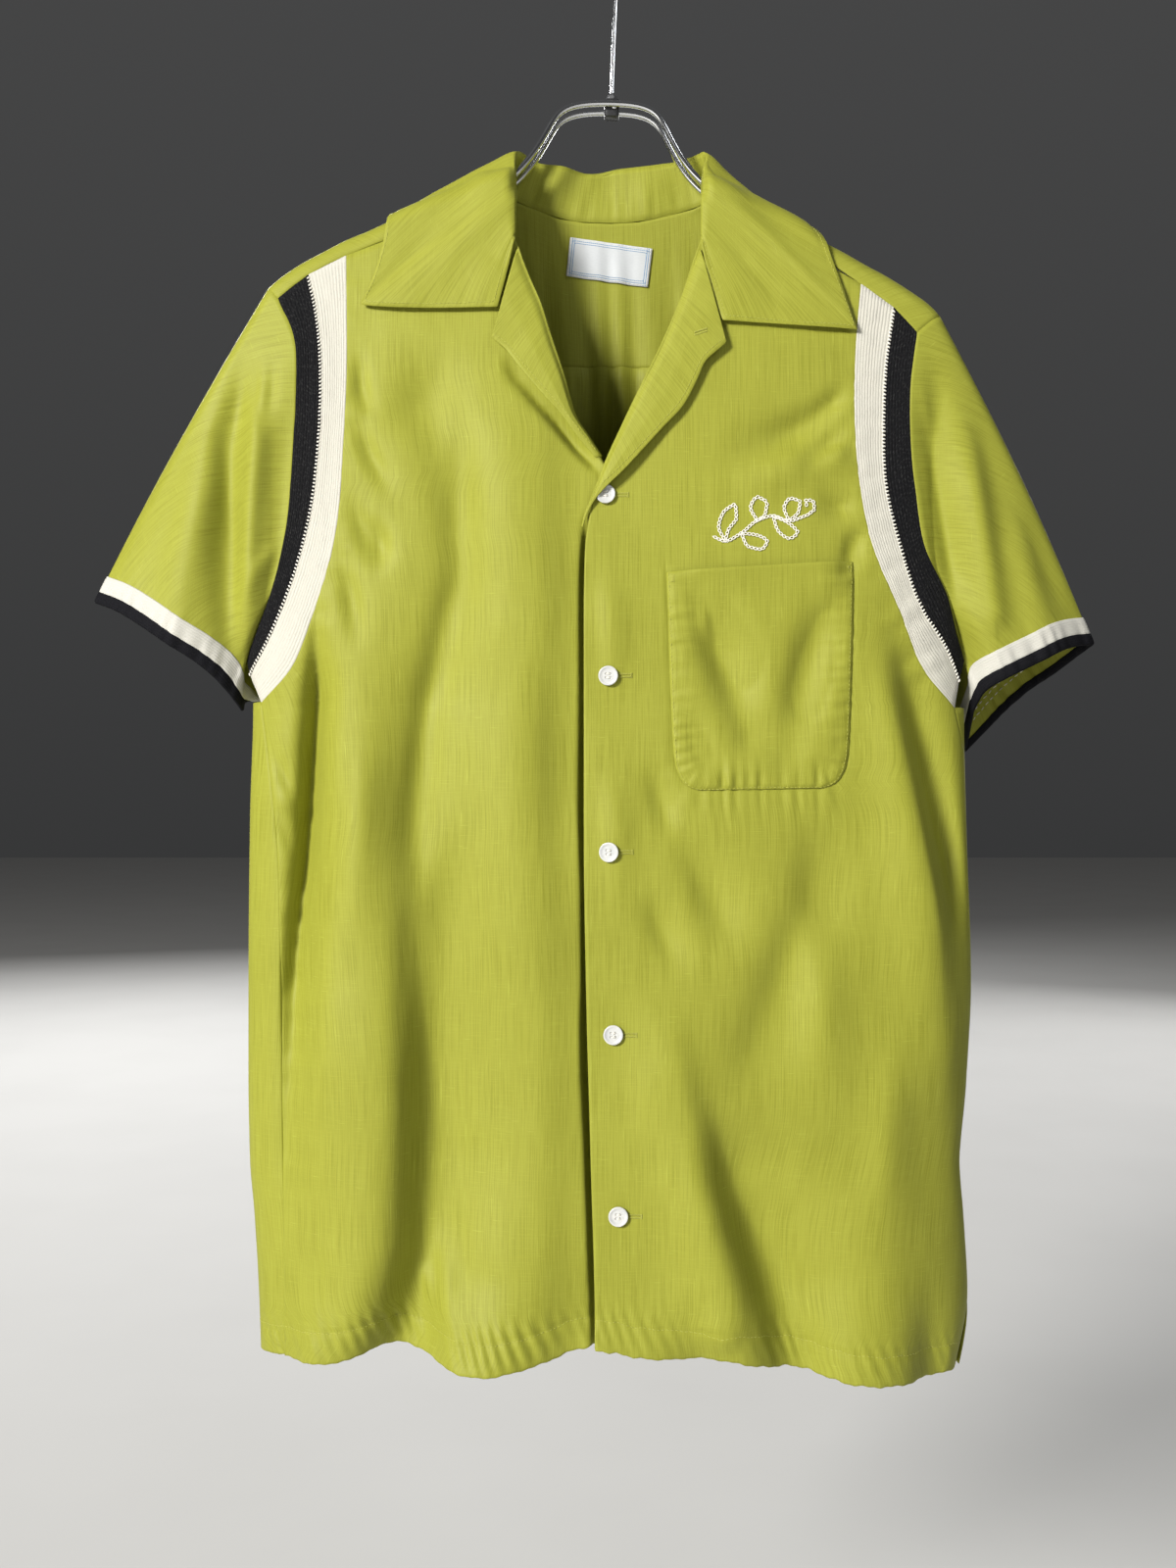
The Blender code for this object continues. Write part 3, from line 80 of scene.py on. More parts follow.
# Folds of the fronts, drawn along their length. Each point: x, z, height (minus is a trough),
# width toward -X, width toward +X
FRONT_FOLDS = [
    [(-104, -560, 0, 50, 20), (-125, -660, 5, 55, 16), (-134, -760, 9, 55, 15),
     (-136, -860, 10, 50, 15), (-160, -945, 13, 38, 24)],
    [(-100, -400, 0, 25, 40), (-112, -530, -5, 24, 45), (-119, -670, -9, 16, 55),
     (-115, -780, -11, 17, 60), (-118, -870, -12, 20, 52), (-143, -945, -15, 20, 26)],
    [(-104, -850, 0, 8, 9), (-104, -890, 4, 8, 9), (-98, -945, 3, 9, 10)],
    [(-78, -800, 0, 30, 40), (-82, -880, 6, 26, 42), (-84, -945, 14, 30, 40)],
    [(-181, -480, 0, 8, 10), (-186, -530, -9, 10, 14), (-192, -600, -11, 10, 14),
     (-199, -690, -8, 8, 15), (-205, -800, -3, 8, 14), (-206, -860, 0, 8, 12)],
    [(-160, -470, 0, 25, 25), (-168, -580, 5, 18, 28), (-175, -720, 4, 20, 30),
     (-178, -860, 2, 20, 30)],
    [(-100, -300, 0, 20, 20), (-118, -335, -4, 16, 18), (-140, -362, 0, 14, 16)],
    [(-70, -320, 0, 30, 30), (-62, -430, 3, 34, 34), (-60, -600, 3, 40, 34), (-62, -760, 0, 40, 34)],
    [(28, -700, 0, 24, 14), (42, -770, 4, 26, 12), (66, -850, 8, 30, 13), (88, -905, 9, 30, 14),
     (92, -950, 4, 24, 14)],
    [(60, -760, 0, 12, 40), (76, -830, -8, 14, 46), (94, -890, -11, 15, 46), (106, -950, -6, 20, 30)],
    [(134, -580, 0, 16, 22), (124, -655, -5, 15, 22), (92, -740, -4, 18, 26), (78, -790, 0, 18, 26)],
    [(38, -600, 0, 10, 14), (62, -650, -4, 11, 16), (80, -690, 0, 12, 16)],
    [(160, -470, 0, 16, 20), (182, -560, 6, 20, 13), (200, -650, 9, 26, 11), (208, -740, 4, 26, 14),
     (208, -800, 0, 26, 14)],
    [(176, -470, 0, 9, 12), (192, -540, -8, 10, 14), (212, -620, -9, 10, 12), (222, -680, 0, 9, 12)],
    [(148, -345, 0, 10, 10), (110, -358, -3.5, 11, 12), (60, -374, 0, 12, 12)],
    [(146, -372, 0, 8, 10), (112, -380, 2.5, 10, 12), (70, -396, 0, 12, 12)],
    [(46, -460, 0, 9, 14), (66, -500, -5, 10, 16), (84, -545, -3, 11, 16), (90, -570, 0, 12, 16)],
    [(136, -450, 0, 12, 12), (122, -500, -4, 12, 12), (110, -555, -2, 13, 12), (104, -580, 0, 12, 12)],
    [(150, -800, 0, 40, 40), (160, -880, 5, 45, 40), (165, -955, 9, 45, 40)],
    [(20, -880, 0, 30, 30), (20, -945, 3, 30, 30)],
    [(56, -900, 0, 18, 16), (54, -945, -5, 20, 16)],
]

# Folds of the back: x, z, height, width toward -X, width toward +X
BACK_FOLDS = [
    [(-90, -296, 4, 9, 9), (-96, -420, 5, 22, 22), (-112, -650, 7, 34, 34), (-120, -955, 13, 40, 40)],
    [(-52, -420, 0, 26, 26), (-58, -680, -6, 30, 30), (-60, -955, -11, 34, 34)],
    [(0, -330, 0, 24, 24), (4, -640, 5, 36, 36), (8, -955, 10, 40, 40)],
    [(58, -420, 0, 26, 26), (62, -680, -6, 30, 30), (66, -955, -11, 34, 34)],
    [(86, -302, 4, 9, 9), (96, -420, 5, 22, 22), (118, -650, 7, 34, 34), (128, -955, 12, 40, 40)],
    [(-178, -460, 0, 20, 20), (-176, -680, -6, 22, 24), (-174, -955, -8, 24, 26)],
    [(176, -470, 0, 20, 20), (178, -680, -6, 22, 24), (180, -955, -8, 24, 26)],
]

# Hem of the fronts and of the back: x, z
FRONT_HEM = [
    (-240, -941), (-222, -939), (-205, -937), (-183, -934), (-165, -932), (-150, -928),
    (-138, -927), (-122, -930), (-100, -934), (-80, -936), (-47, -932), (-11, -924), (18, -929),
    (42, -931), (71, -932), (106, -940), (141, -946), (172, -949), (198, -951), (221, -952.5),
    (240, -955),
]
BACK_HEM = [
    (-240, -941), (-226, -941.5), (-150, -947), (0, -951), (150, -956), (221, -952.5), (240, -953),
]

# Edge where each front ends at the neck and the opening, from the hem up: x, z
RIGHT_EDGE = [
    (15, -955), (15, -430), (9, -399), (-5, -377), (-24, -349), (-46, -275), (-61.5, -233.5),
    (-68, -218), (-74, -206),
]
LEFT_EDGE = [
    (-11, -955), (-11, -924), (-13.5, -819), (-16.5, -698), (-17.7, -608), (-17.7, -470),
    (-17, -433), (-13, -406), (-2.6, -376), (8, -352), (34, -298), (56, -234), (62, -220), (67, -209),
]

# Where each front meets the white insert, the white meets the black, and the black meets the
# sleeve, from the underarm up: x, z
RIGHT_INSERT = [
    [(-224, -526), (-203, -505.4), (-189, -474), (-175, -428.5), (-169, -363), (-167.6, -319),
     (-168.2, -277), (-169.2, -241.8)],
    [(-232, -508.5), (-220.4, -491), (-203, -454), (-190, -409), (-185, -368), (-183.5, -325),
     (-187.3, -280), (-193.2, -254)],
    [(-235, -498), (-227.5, -482.6), (-217, -458.4), (-206.4, -416.4), (-202, -366),
     (-200, -327.4), (-201.5, -295), (-212.6, -269)],
]
LEFT_INSERT = [
    [(218.6, -529.5), (198, -507), (180, -468), (162.4, -426), (155, -388), (152.5, -344),
     (154.3, -299), (158.2, -260)],
    [(221.6, -513), (211.5, -492), (195, -468), (180.5, -428), (171.4, -387.6), (170.7, -352),
     (173, -313), (179, -275)],
    [(226.5, -498.5), (220.2, -484), (213.2, -458.4), (198.5, -430), (192, -394), (188.6, -357),
     (189.6, -320), (194, -291)],
]

# Side seam on -X, from the hem up to the underarm: x, z. left_side gives the one on +X.
RIGHT_SIDE = [(-205, -955), (-207.8, -826), (-209.6, -702), (-211.5, -628), (-218, -566), (-224, -526)]

# Armholes on the back, from the underarm up to the yoke: x, z
RIGHT_BACK_ARM = [(-224, -526), (-229, -495), (-217, -450), (-206, -400), (-201, -350), (-209, -297)]
LEFT_BACK_ARM = [(218.6, -529.5), (222, -497), (212, -455), (200, -410), (195, -360), (203, -308)]


def smooth(t):
    return t * t * (3 - 2 * t)


def ramp(value, start, span):
    """0 up to the start, rising evenly to 1 over the span."""
    return np.clip((value - start) / span, 0, 1)


def bell(value, wide):
    return np.exp(-((value / wide) ** 2))


def unit(v):
    return v / np.maximum(np.linalg.norm(v, axis=-1, keepdims=True), 1e-9)


def column(rows, k):
    return [row[k] for row in rows]


def lengths(points, axis=0):
    """Distance of each point from the first one, along a line or along one axis of a grid."""
    step = np.linalg.norm(np.diff(points, axis=axis), axis=-1)
    start = np.zeros_like(np.take(step, [0], axis=axis))
    return np.concatenate([start, np.cumsum(step, axis=axis)], axis=axis)


def point_at(s, arc, line):
    """Points of a line at distances s, where arc holds the distances of its own points."""
    return np.stack([np.interp(s, arc, values) for values in line.T], axis=-1)


def resampled(line, shares):
    """Points of a line at shares of its length."""
    length = lengths(line)
    return point_at(shares, length / length[-1], line)


def hermite(t, step, start, start_lean, end, end_lean):
    """Smooth values at shares t of a step, from the values and leans at its two ends."""
    a = 2 * t**3 - 3 * t**2 + 1
    b = t**3 - 2 * t**2 + t
    c = 3 * t**2 - 2 * t**3
    d = t**3 - t**2
    return a * start + b * step * start_lean + c * end + d * step * end_lean


def ease(keys, values, at):
    """Smooth values through the keys, with no overshoot. Keys rise."""
    x = np.asarray(keys, float)
    y = np.asarray(values, float)
    step = np.diff(x)
    slope = np.diff(y) / step
    lean = np.empty_like(y)
    same = slope[:-1] * slope[1:] > 0
    total = np.where(same, slope[:-1] + slope[1:], 1)
    lean[1:-1] = np.where(same, 2 * slope[:-1] * slope[1:] / total, 0)
    lean[0], lean[-1] = slope[0], slope[-1]
    at = np.clip(np.asarray(at, float), x[0], x[-1])
    i = np.clip(np.searchsorted(x, at, side="right") - 1, 0, len(x) - 2)
    return hermite((at - x[i]) / step[i], step[i], y[i], lean[i], y[i + 1], lean[i + 1])


def from_table(table, at, k=1):
    """Smooth value of a table's column k where its first column is at."""
    return ease(column(table, 0), column(table, k), at)


def by_z(points, z):
    """x at heights z on an edge whose points are x, z."""
    order = sorted(points, key=lambda p: p[1])
    return ease(column(order, 1), column(order, 0), z)


def along(points, at):
    """Points on a smooth curve through the given ones, at shares of its length."""
    p = np.asarray(points, float)
    length = lengths(p)
    length /= length[-1]
    weight = np.diff(length)
    slope = np.diff(p, axis=0) / weight[:, None]
    lean = np.empty_like(p)
    share = (weight[:-1] / (weight[:-1] + weight[1:]))[:, None]
    lean[1:-1] = slope[:-1] * (1 - share) + slope[1:] * share
    lean[0], lean[-1] = slope[0], slope[-1]
    at = np.asarray(at, float)
    i = np.clip(np.searchsorted(length, at, side="right") - 1, 0, len(p) - 2)
    t = ((at - length[i]) / weight[i])[..., None]
    return hermite(t, weight[i][..., None], p[i], lean[i], p[i + 1], lean[i + 1])


def ridge(x):
    return from_table(RIDGE, x)


def body(z, k):
    return from_table(BODY, z, k)


def half_width(x, z):
    """Half width of the body at height z, on the side where x lies."""
    return np.where(np.asarray(x) < 0, body(z, 1), body(z, 2))


def on_segment(x, z, ax, az, bx, bz):
    """The place nearest to each point, as a share of a segment, and the way from there to it."""
    dx, dz = bx - ax, bz - az
    t = np.clip(((x - ax) * dx + (z - az) * dz) / (dx * dx + dz * dz), 0, 1)
    return t, x - ax - t * dx, z - az - t * dz


def folds(table, x, z):
    """Height of all folds of a table at points (x, z)."""
    x, z = np.broadcast_arrays(np.asarray(x, float), np.asarray(z, float))
    total = np.zeros(x.shape)
    for fold in table:
        near = np.full(x.shape, 1e9)
        value = np.zeros(x.shape)
        for (ax, az, ah, al, ar), (bx, bz, bh, bl, br) in zip(fold[:-1], fold[1:]):
            t, off_x, off_z = on_segment(x, z, ax, az, bx, bz)
            away = np.hypot(off_x, off_z)
            side = off_x * abs(bz - az) - off_z * (bx - ax) * (-1 if bz < az else 1)
            side = np.where(np.abs(side) < 1e-9, off_x, side)
            width = np.where(side < 0, al + (bl - al) * t, ar + (br - ar) * t)
            height = (ah + (bh - ah) * smooth(t)) * bell(away, width)
            value = np.where(away < near, height, value)
            near = np.minimum(near, away)
        total = total + value
    return total


CAP_DROP = 13.0  # how far below the shoulder's top line its round ends
CAP_DEPTH = 17  # how far the cloth has come forward there
SQUARENESS = 2.3  # 2 makes the body's section an ellipse


def cap(below, slope):
    """Distance of the cloth from the shoulder's top line, at a depth below it."""
    t = np.clip(np.asarray(below, float), 0, None)
    inside = 1 - ramp(t, 0, CAP_DROP)
    return CAP_DEPTH * np.sqrt(np.clip(1 - inside**2, 0, 1)) + slope * t


def section(x, z, k):
    """Depth of the body's section at x, from its side to the front (4) or the back (5)."""
    share = np.clip(np.abs(x) / half_width(x, z), 0, 1)
    return body(z, k) * (1 - share**SQUARENESS) ** (1 / SQUARENESS)


def softer(a, b):
    """The smaller of two depths, blended where they are close."""
    a = np.clip(a, 1e-3, None)
    b = np.clip(b, 1e-3, None)
    return (a**-5.0 + b**-5.0) ** (-1 / 5.0)


def torso_y(x, z, way, k, slope, plain, blend, table):
    """y of the front (way -1) or back (way 1). Folds start at a depth below the shoulder."""
    below = ridge(x) - z
    depth = softer(cap(below, slope), section(x, z, k))
    calm = ramp(depth, 0, 22) * ramp(below, plain, blend)
    middle = body(z, 3) * ramp(below, 60, 200)
    return middle + way * depth + way * calm * folds(table, x, z)


def front_y(x, z):
    return torso_y(x, z, -1, 4, 0.13, 30, 50, FRONT_FOLDS)


def back_y(x, z):
    return torso_y(x, z, 1, 5, 0.22, 60, 60, BACK_FOLDS)


# Yoke, column by column from -X to +X. Start x and z, start on the front (-1), on the top
# line (0) or on the back (1), x where it crosses the top line, x at the back seam
YOKE = [
    (-212.6, -269, -1, -221.5, -209), (-203, -261, -1, -212, -200), (-193.2, -254, -1, -201, -190),
    (-181, -247.3, -1, -189, -178), (-169.2, -241.8, -1, -176, -166), (-150, -234, -1, -157, -148),
    (-130, -226.3, -1, -137, -130), (-110, -218.7, -1, -118, -112), (-92, -212.3, -1, -101, -96),
    (-74, -206, -1, -87, -85), (-77, -192.6, -1, -83, -80), (-79, -188.6, -1, -81, -76),
    (-80, -187, 0, -80, -72), (-74, -189, 1, -74, -65),
    (-64, -193.5, 1, -64, -56), (-48, -199, 1, -48, -44), (-34, -204, 1, -34, -31),
    (-18, -206.3, 1, -18, -16), (0, -206.9, 1, 0, 0), (18, -206, 1, 18, 16), (38, -202, 1, 38, 34),
    (54, -198.5, 1, 54, 48), (66, -194.2, 1, 66, 58), (72, -191.5, 0, 72, 64),
    (71.2, -192.9, -1, 73.5, 68), (69.6, -196.6, -1, 76, 73), (67, -209, -1, 81, 78),
    (84, -217.3, -1, 96, 92), (104, -227.3, -1, 115, 110),
    (124, -238, -1, 133, 127), (142, -248.6, -1, 151, 144), (158.2, -260, -1, 167, 160),
    (168.5, -267, -1, 178, 171), (179, -275, -1, 189, 182), (186.5, -282.5, -1, 200, 192),
    (194, -291, -1, 212.5, 203),
]


# Edge of each sleeve's hem, from the underarm along the front to the tip, then along the back
# to the underarm: x, y, z
RIGHT_SLEEVE_HEM = [
    (-240, 1, -530), (-245.5, -10, -520), (-253, -18, -510), (-267, -21.5, -498.2),
    (-280, -22, -490), (-299.4, -19, -477.2), (-316.5, -12, -467.2), (-334.5, 0, -460.2),
    (-317, 12, -464), (-300, 20, -472), (-281, 24, -483), (-264, 24, -493), (-250, 18, -506),
    (-241, 9, -523),
]
LEFT_SLEEVE_HEM = [
    (234.5, 1, -531), (240, -15, -517.2), (251, -22, -510.1), (262, -21, -504.7),
    (273.8, -18, -499.1), (290, -12, -491.4), (301, -6, -488.5), (312.4, 1, -487.2),
    (304.3, 10, -494.5), (292, 18, -505), (279, 24, -514.3), (264.5, 27, -527), (250, 28, -542),
    (235.5, 24, -556),
]

# Folds of the sleeves: x, z, height, width toward -X, width toward +X
SLEEVE_FOLDS = [
    [(-232, -290, 0, 7, 9), (-243, -360, -7, 9, 12), (-246, -430, -8, 10, 12), (-242, -500, -5, 10, 12)],
    [(-222, -300, 0, 7, 7), (-225, -360, 5, 8, 8), (-231, -440, 4, 8, 7), (-236, -500, 1, 8, 8)],
    [(-252, -330, 0, 12, 14), (-268, -420, 4, 14, 12), (-276, -480, 3, 14, 12)],
    [(203, -300, 0, 7, 9), (205, -360, -8, 8, 11), (217, -430, -11, 9, 12), (228, -500, -6, 9, 12)],
    [(222, -320, 0, 12, 9), (232, -400, 5, 12, 9), (242, -470, 3, 12, 9)],
    [(228, -340, 0, 10, 14), (246, -420, -4, 11, 14), (256, -490, -3, 11, 14)],
    [(250, -380, 0, 12, 12), (268, -440, 3, 12, 12), (280, -495, 2, 12, 12)],
]
TRIM = 11.0 + 7.0  # the white and the black band


# Collar, section by section from the wearer's right notch round the neck to the left one:
# neck seam x, y, z; roll x, y, z; middle of the leaf x, y, z; edge of the leaf x, y, z
COLLAR = [
    (-66, -15, -226, -61.5, -20, -234, -66.5, -25, -256, -72.2, -28, -278.5),
    (-69, -14, -219, -61.3, -19, -222, -82, -26, -249, -96, -30, -278.6),
    (-72, -13, -211, -61.3, -18, -208, -96, -26, -242, -124, -30.5, -278.4),
    (-75, -12, -201, -61.3, -16, -194, -108, -24, -233, -158.3, -27, -274.7),
    (-77, -7, -190.4, -61.3, -12, -182, -104, -20, -214, -151.5, -23, -259),
    (-79, 0, -184.9, -61.5, -7, -174.5, -104, -13, -200, -146, -18, -240),
    (-75.5, 8, -186.4, -61.2, -1, -168.2, -101, -2, -189, -139.9, -3, -212),
    (-68, 15, -190.6, -57.5, 7, -166.6, -93, 14, -188, -128, 22, -216),
    (-57, 19, -195.2, -48, 13.5, -169.5, -74, 24, -190, -104, 33, -223),
    (-41, 20.8, -200.9, -33, 17, -170.5, -44, 27, -196, -60, 38, -232),
    (-20, 21.3, -205.4, -15.6, 18, -175, -18, 28, -203, -22, 40, -237),
    (3, 21.4, -206.1, 3, 18, -171.8, 4, 28, -203, 4, 40.5, -239),
    (24, 21, -204.4, 22, 17.5, -170.6, 24, 28, -203, 30, 40, -239),
    (44, 20, -200, 38, 16, -168.5, 47, 26.5, -196, 64, 37, -236),
    (59, 17.5, -195.8, 51.5, 11.5, -166.3, 74, 21, -191, 104, 31, -231),
    (67.5, 10, -192.4, 58.5, 5, -166.2, 89, 12, -192.5, 118, 19, -222),
    (71.5, 2, -189.6, 60.8, -1, -169, 93, 0, -196, 125, 0, -218),
    (70.6, -6, -192.6, 59.5, -7, -176, 96, -11, -208, 133, -12, -229),
    (66.4, -11.5, -204, 57.8, -12, -186, 98, -18, -222, 141, -19, -250),
    (64.2, -13, -213, 57, -15.5, -200, 104, -24, -240, 154.4, -26, -291),
    (63.2, -14, -222, 56.3, -17.5, -213, 92, -27, -250, 126, -31, -290),
    (62.5, -15, -229, 56.1, -18.7, -225, 80, -27, -255, 98, -32, -288.5),
    (60.5, -16, -235, 55.9, -20, -235, 61.5, -26.5, -261, 69.2, -29.5, -286.8),
]
COLLAR_CLEAR = 4.0  # least distance of the leaf from the body


# Lapels, from the collar down to the bottom of the opening: x and z on the roll, x and z on
# the outer edge, height over the front. The left one's end runs out into the front's edge.
RIGHT_LAPEL = [
    (-59.8, -239, -75.3, -298.5, 4), (-56, -250.5, -73, -300.8, 4), (-51, -263, -70.3, -303, 4),
    (-46, -275, -67, -306, 4), (-39.5, -297, -57.5, -318.5, 5), (-31.5, -322, -45, -333.5, 5),
    (-24.5, -347, -31.5, -348.5, 4.5), (-15.5, -361.4, -20.5, -363.5, 3.6),
    (-7.5, -373.7, -10.3, -375.3, 2.6),
]
LEFT_LAPEL = [
    (56, -241, 71.1, -301.5, 4), (51.5, -252, 69, -303.6, 4), (47.5, -262.5, 66.9, -305.4, 4),
    (44.5, -271, 64.5, -307.5, 4), (39, -285, 57.9, -314, 4), (30, -306, 52, -327, 4),
    (21, -324.5, 44, -342, 4), (8, -352, 30, -357.5, 4), (-2.6, -376, 6.4, -383.7, 5),
    (-8.6, -391, -5.8, -395.4, 4.2), (-12.8, -401.2, -11.2, -401.8, 2.6),
    (-16.8, -410.6, -16.2, -411, 1.6), (-18.8, -418, -18.6, -418.2, 0.8),
]


# Chest pocket: share of its depth below the mouth, share of its half width. Then its mouth and
# lower edge: x, z at -X and at +X
POCKET = [(0, 1), (0.25, 1), (0.5, 1), (0.72, 0.995), (0.84, 0.985), (0.91, 0.955), (0.96, 0.895),
          (0.987, 0.81), (1, 0.7)]
POCKET_TOP = ((33.5, -446.6), (150.6, -438.8))
POCKET_LOW = ((38, -582.2), (147, -580))


# Buttons, top to bottom: x, z
BUTTONS = [(-4.5, -398), (-2.7, -510.8), (-2.1, -620), (0.3, -732.7), (3.3, -843.6)]

# Neck label: corners x, z from the upper -X corner clockwise
LABEL = [(-27, -215.5), (27.3, -222.7), (24.4, -246.6), (-29.6, -239.5)]

# Front wire of the hanger, from the -X tip over the centre to the +X tip: x, z
WIRE = [
    (-213, -258.5), (-203, -252), (-184, -241.5), (-171, -234.8), (-156, -227.5), (-140, -220),
    (-124, -213), (-107, -206), (-95, -201.6), (-84, -198), (-75, -193.8), (-68, -189.6),
    (-61.7, -184.8), (-55.4, -177.9), (-49.1, -169.7), (-43.9, -161.3), (-38.7, -151.9),
    (-35.5, -146.9), (-31.3, -143.5), (-24.1, -141), (-15.6, -139.8), (1, -139.6), (15.6, -140.7),
    (24.1, -143), (30.4, -147.3), (34.6, -155), (39.9, -165.4), (47.2, -177.9), (57.7, -189.8),
    (68, -197.4), (80, -202.5), (92, -207.8), (105, -215.2), (120, -224), (137, -236.2),
    (150, -243.2), (163, -250.6), (176, -257.8), (192, -267.5), (202, -275),
]
WIRE_RADIUS = 2.1
WIRE_Y = 7.0
HOOK_RADIUS = 1.6
SHANK = [
    (0.4, -130.5), (0.9, -116), (1.5, -100), (2.2, -84), (2.9, -69.5), (3.9, -58.5),
    (6.7, -48.5), (11, -40.6), (16.05, -34.45),
]
HOOK_CENTRE_Z = -20.0
HOOK_BEND = 21.6
# Nut and screw of the hanger: radius, height along the axis. Its block: z, growth of its section
NUT = [(0, -4.9), (3.0, -4.9), (3.5, -4.6), (3.5, -2.4), (3.1, -2), (2.6, -0.8), (0, -0.8)]
SCREW = [(0, 0.7), (1.0, 0.6), (1.6, 0.25), (1.8, -0.2), (0, -0.3)]
CLIP_BLOCK = [(-146.4, -0.5), (-145.9, 0), (-135.6, 0), (-135.1, -0.5)]

# How finely the pieces are divided
ARM_ROWS = 60
ARM_SHARES = np.linspace(0, 1, ARM_ROWS + 1)
LOW_ROWS = 112
HEM_ROWS = 15  # of the low rows
FRONT_COLS = 160
BACK_COLS = 280
SLEEVE_MAIN = 62
YOKE_ROWS = 44

# Creases too fine for the solids. Each point: x, z, height, width toward -X, width toward +X
FRONT_CREASES = [
    [(-160, -300, 0, 4, 5), (-158, -330, -1.6, 5, 6), (-150, -352, 0, 5, 6)],
    [(-164, -345, 0, 5, 6), (-152, -372, -1.8, 5, 6), (-134, -402, 0, 6, 8)],
    [(-168, -392, 0, 5, 6), (-156, -420, -1.6, 5, 6), (-142, -452, 0, 6, 8)],
    [(-172, -430, 0, 5, 6), (-164, -462, -1.8, 5, 7), (-156, -500, 0, 6, 8)],
    [(151, -330, 0, 5, 5), (138, -338, -2.2, 5, 6), (118, -352, -1.2, 7, 8), (92, -362, 0, 8, 9)],
    [(152, -352, 0, 5, 5), (134, -366, -1.8, 5, 6), (112, -384, 0, 8, 8)],
    [(153, -368, 0, 5, 5), (140, -372, 1.6, 5, 5), (120, -374, 0, 7, 7)],
    [(156, -398, 0, 5, 5), (143, -404, -2, 6, 6), (124, -402, 0, 8, 8)],
    [(160, -416, 0, 5, 5), (150, -430, -2, 5, 7), (143, -456, 0, 6, 8)],
    [(18, -640, 0, 8, 10), (30, -668, -1.8, 8, 10), (46, -700, 0, 9, 12)],
    [(22, -560, 0, 7, 9), (30, -590, -1.6, 7, 9), (40, -616, 0, 8, 10)],
    [(-4, -560, 0, 8, 10), (2, -600, 1.2, 8, 10), (4, -660, 0, 8, 10)],
    [(-6, -440, 0, 7, 9), (0, -480, 1.2, 8, 10), (2, -530, 0, 8, 10)],
    [(52, -900, 0, 12, 14), (66, -915, 1.5, 12, 10), (80, -922, 0, 12, 12)],
    [(110, -620, 0, 12, 16), (128, -700, 2.0, 12, 16), (132, -780, 0, 14, 18)],
    [(178, -700, 0, 12, 14), (172, -800, 1.8, 14, 16), (166, -880, 0, 16, 18)],
    [(-40, -470, 0, 12, 14), (-36, -560, -1.6, 14, 16), (-34, -700, 0, 16, 18)],
    [(-90, -330, 0, 9, 11), (-96, -400, -1.6, 10, 12), (-94, -470, 0, 12, 14)],
    [(-150, -520, 0, 12, 12), (-156, -600, 2, 12, 12), (-160, -700, 0, 14, 14)],
    [(-184, -880, 0, 10, 10), (-186, -940, 3, 12, 12)],
    [(-10, -900, 0, 10, 10), (-8, -945, 2, 12, 12)],
    [(120, -900, 0, 14, 14), (122, -950, -3, 16, 16)],
    [(196, -880, 0, 12, 12), (200, -950, -3, 12, 12)],
    [(-184.9, -457, 0, 4, 6), (-188.5, -511, -2.6, 4, 6), (-192.7, -566, -3.2, 4, 7),
     (-196.4, -626, -2.8, 4, 7), (-202.4, -686, -1.8, 5, 6), (-206.6, -735, 0, 5, 6)],
    [(-175.2, -481, 0, 6, 9), (-179.5, -554, 1.8, 6, 10), (-183.1, -640, 0, 6, 10)],
    [(-87.7, -421, 0, 9, 14), (-102.8, -469, -1.6, 9, 14), (-116.7, -530, -2.4, 9, 14),
     (-123.9, -590, -2.0, 9, 14), (-128.8, -650, 0, 9, 12)],
    [(-134, -640, 0, 7, 6), (-135.5, -700, 0.4, 7, 6), (-137, -780, 0.2, 7, 6), (-140, -860, 0.2, 7, 6),
     (-141, -890, 0, 7, 5)],
    [(-128, -640, 0, 10, 14), (-120, -700, -0.6, 11, 16), (-111, -759, -0.6, 13, 18),
     (-100, -825, -0.6, 15, 18), (-95, -890, 0, 14, 16)],
    [(-118, -874, 0, 4, 5), (-115, -890, 1.4, 4, 5), (-112, -912, 0, 4, 5)],
    [(-152.3, -409, 0, 5, 7), (-145, -427, -2, 5, 7), (-139, -446, 0, 6, 8)],
    [(-214, -560, 0, 4, 5), (-208, -572, -1.4, 4, 5), (-201, -590, 0, 4, 5)],
    [(-72, -312, 0, 4, 8), (-60, -324, -2, 3.5, 8), (-47.5, -338, -3.2, 3, 8), (-34, -352.5, -3.6, 3, 8),
     (-22.5, -367, -3.4, 3, 7), (-13, -377, -1.6, 3, 5), (-7, -384, 0, 3, 4)],
    [(50, -790, 0, 7, 18), (66, -825, -1.2, 8, 24), (80, -858, -1.8, 9, 28), (100, -905, -1.8, 9, 28),
     (108, -935, -1.4, 9, 26)],
    [(-118, -325, 0, 14, 16), (-108, -365, -1.6, 15, 18), (-97, -410, -2.4, 15, 20),
     (-93, -450, -2.2, 14, 20), (-100, -500, -1, 14, 18), (-110, -540, 0, 14, 16)],
    [(-213, -600, 0, 4, 5), (-207, -610, -1.4, 4, 5), (-202, -622, 0, 4, 5)],
]
CREASE_DEPTH = 2.4  # how many times the table's heights the fine creases are
FOLD_MORE = 0.5  # share by which the large folds are higher than in the solids


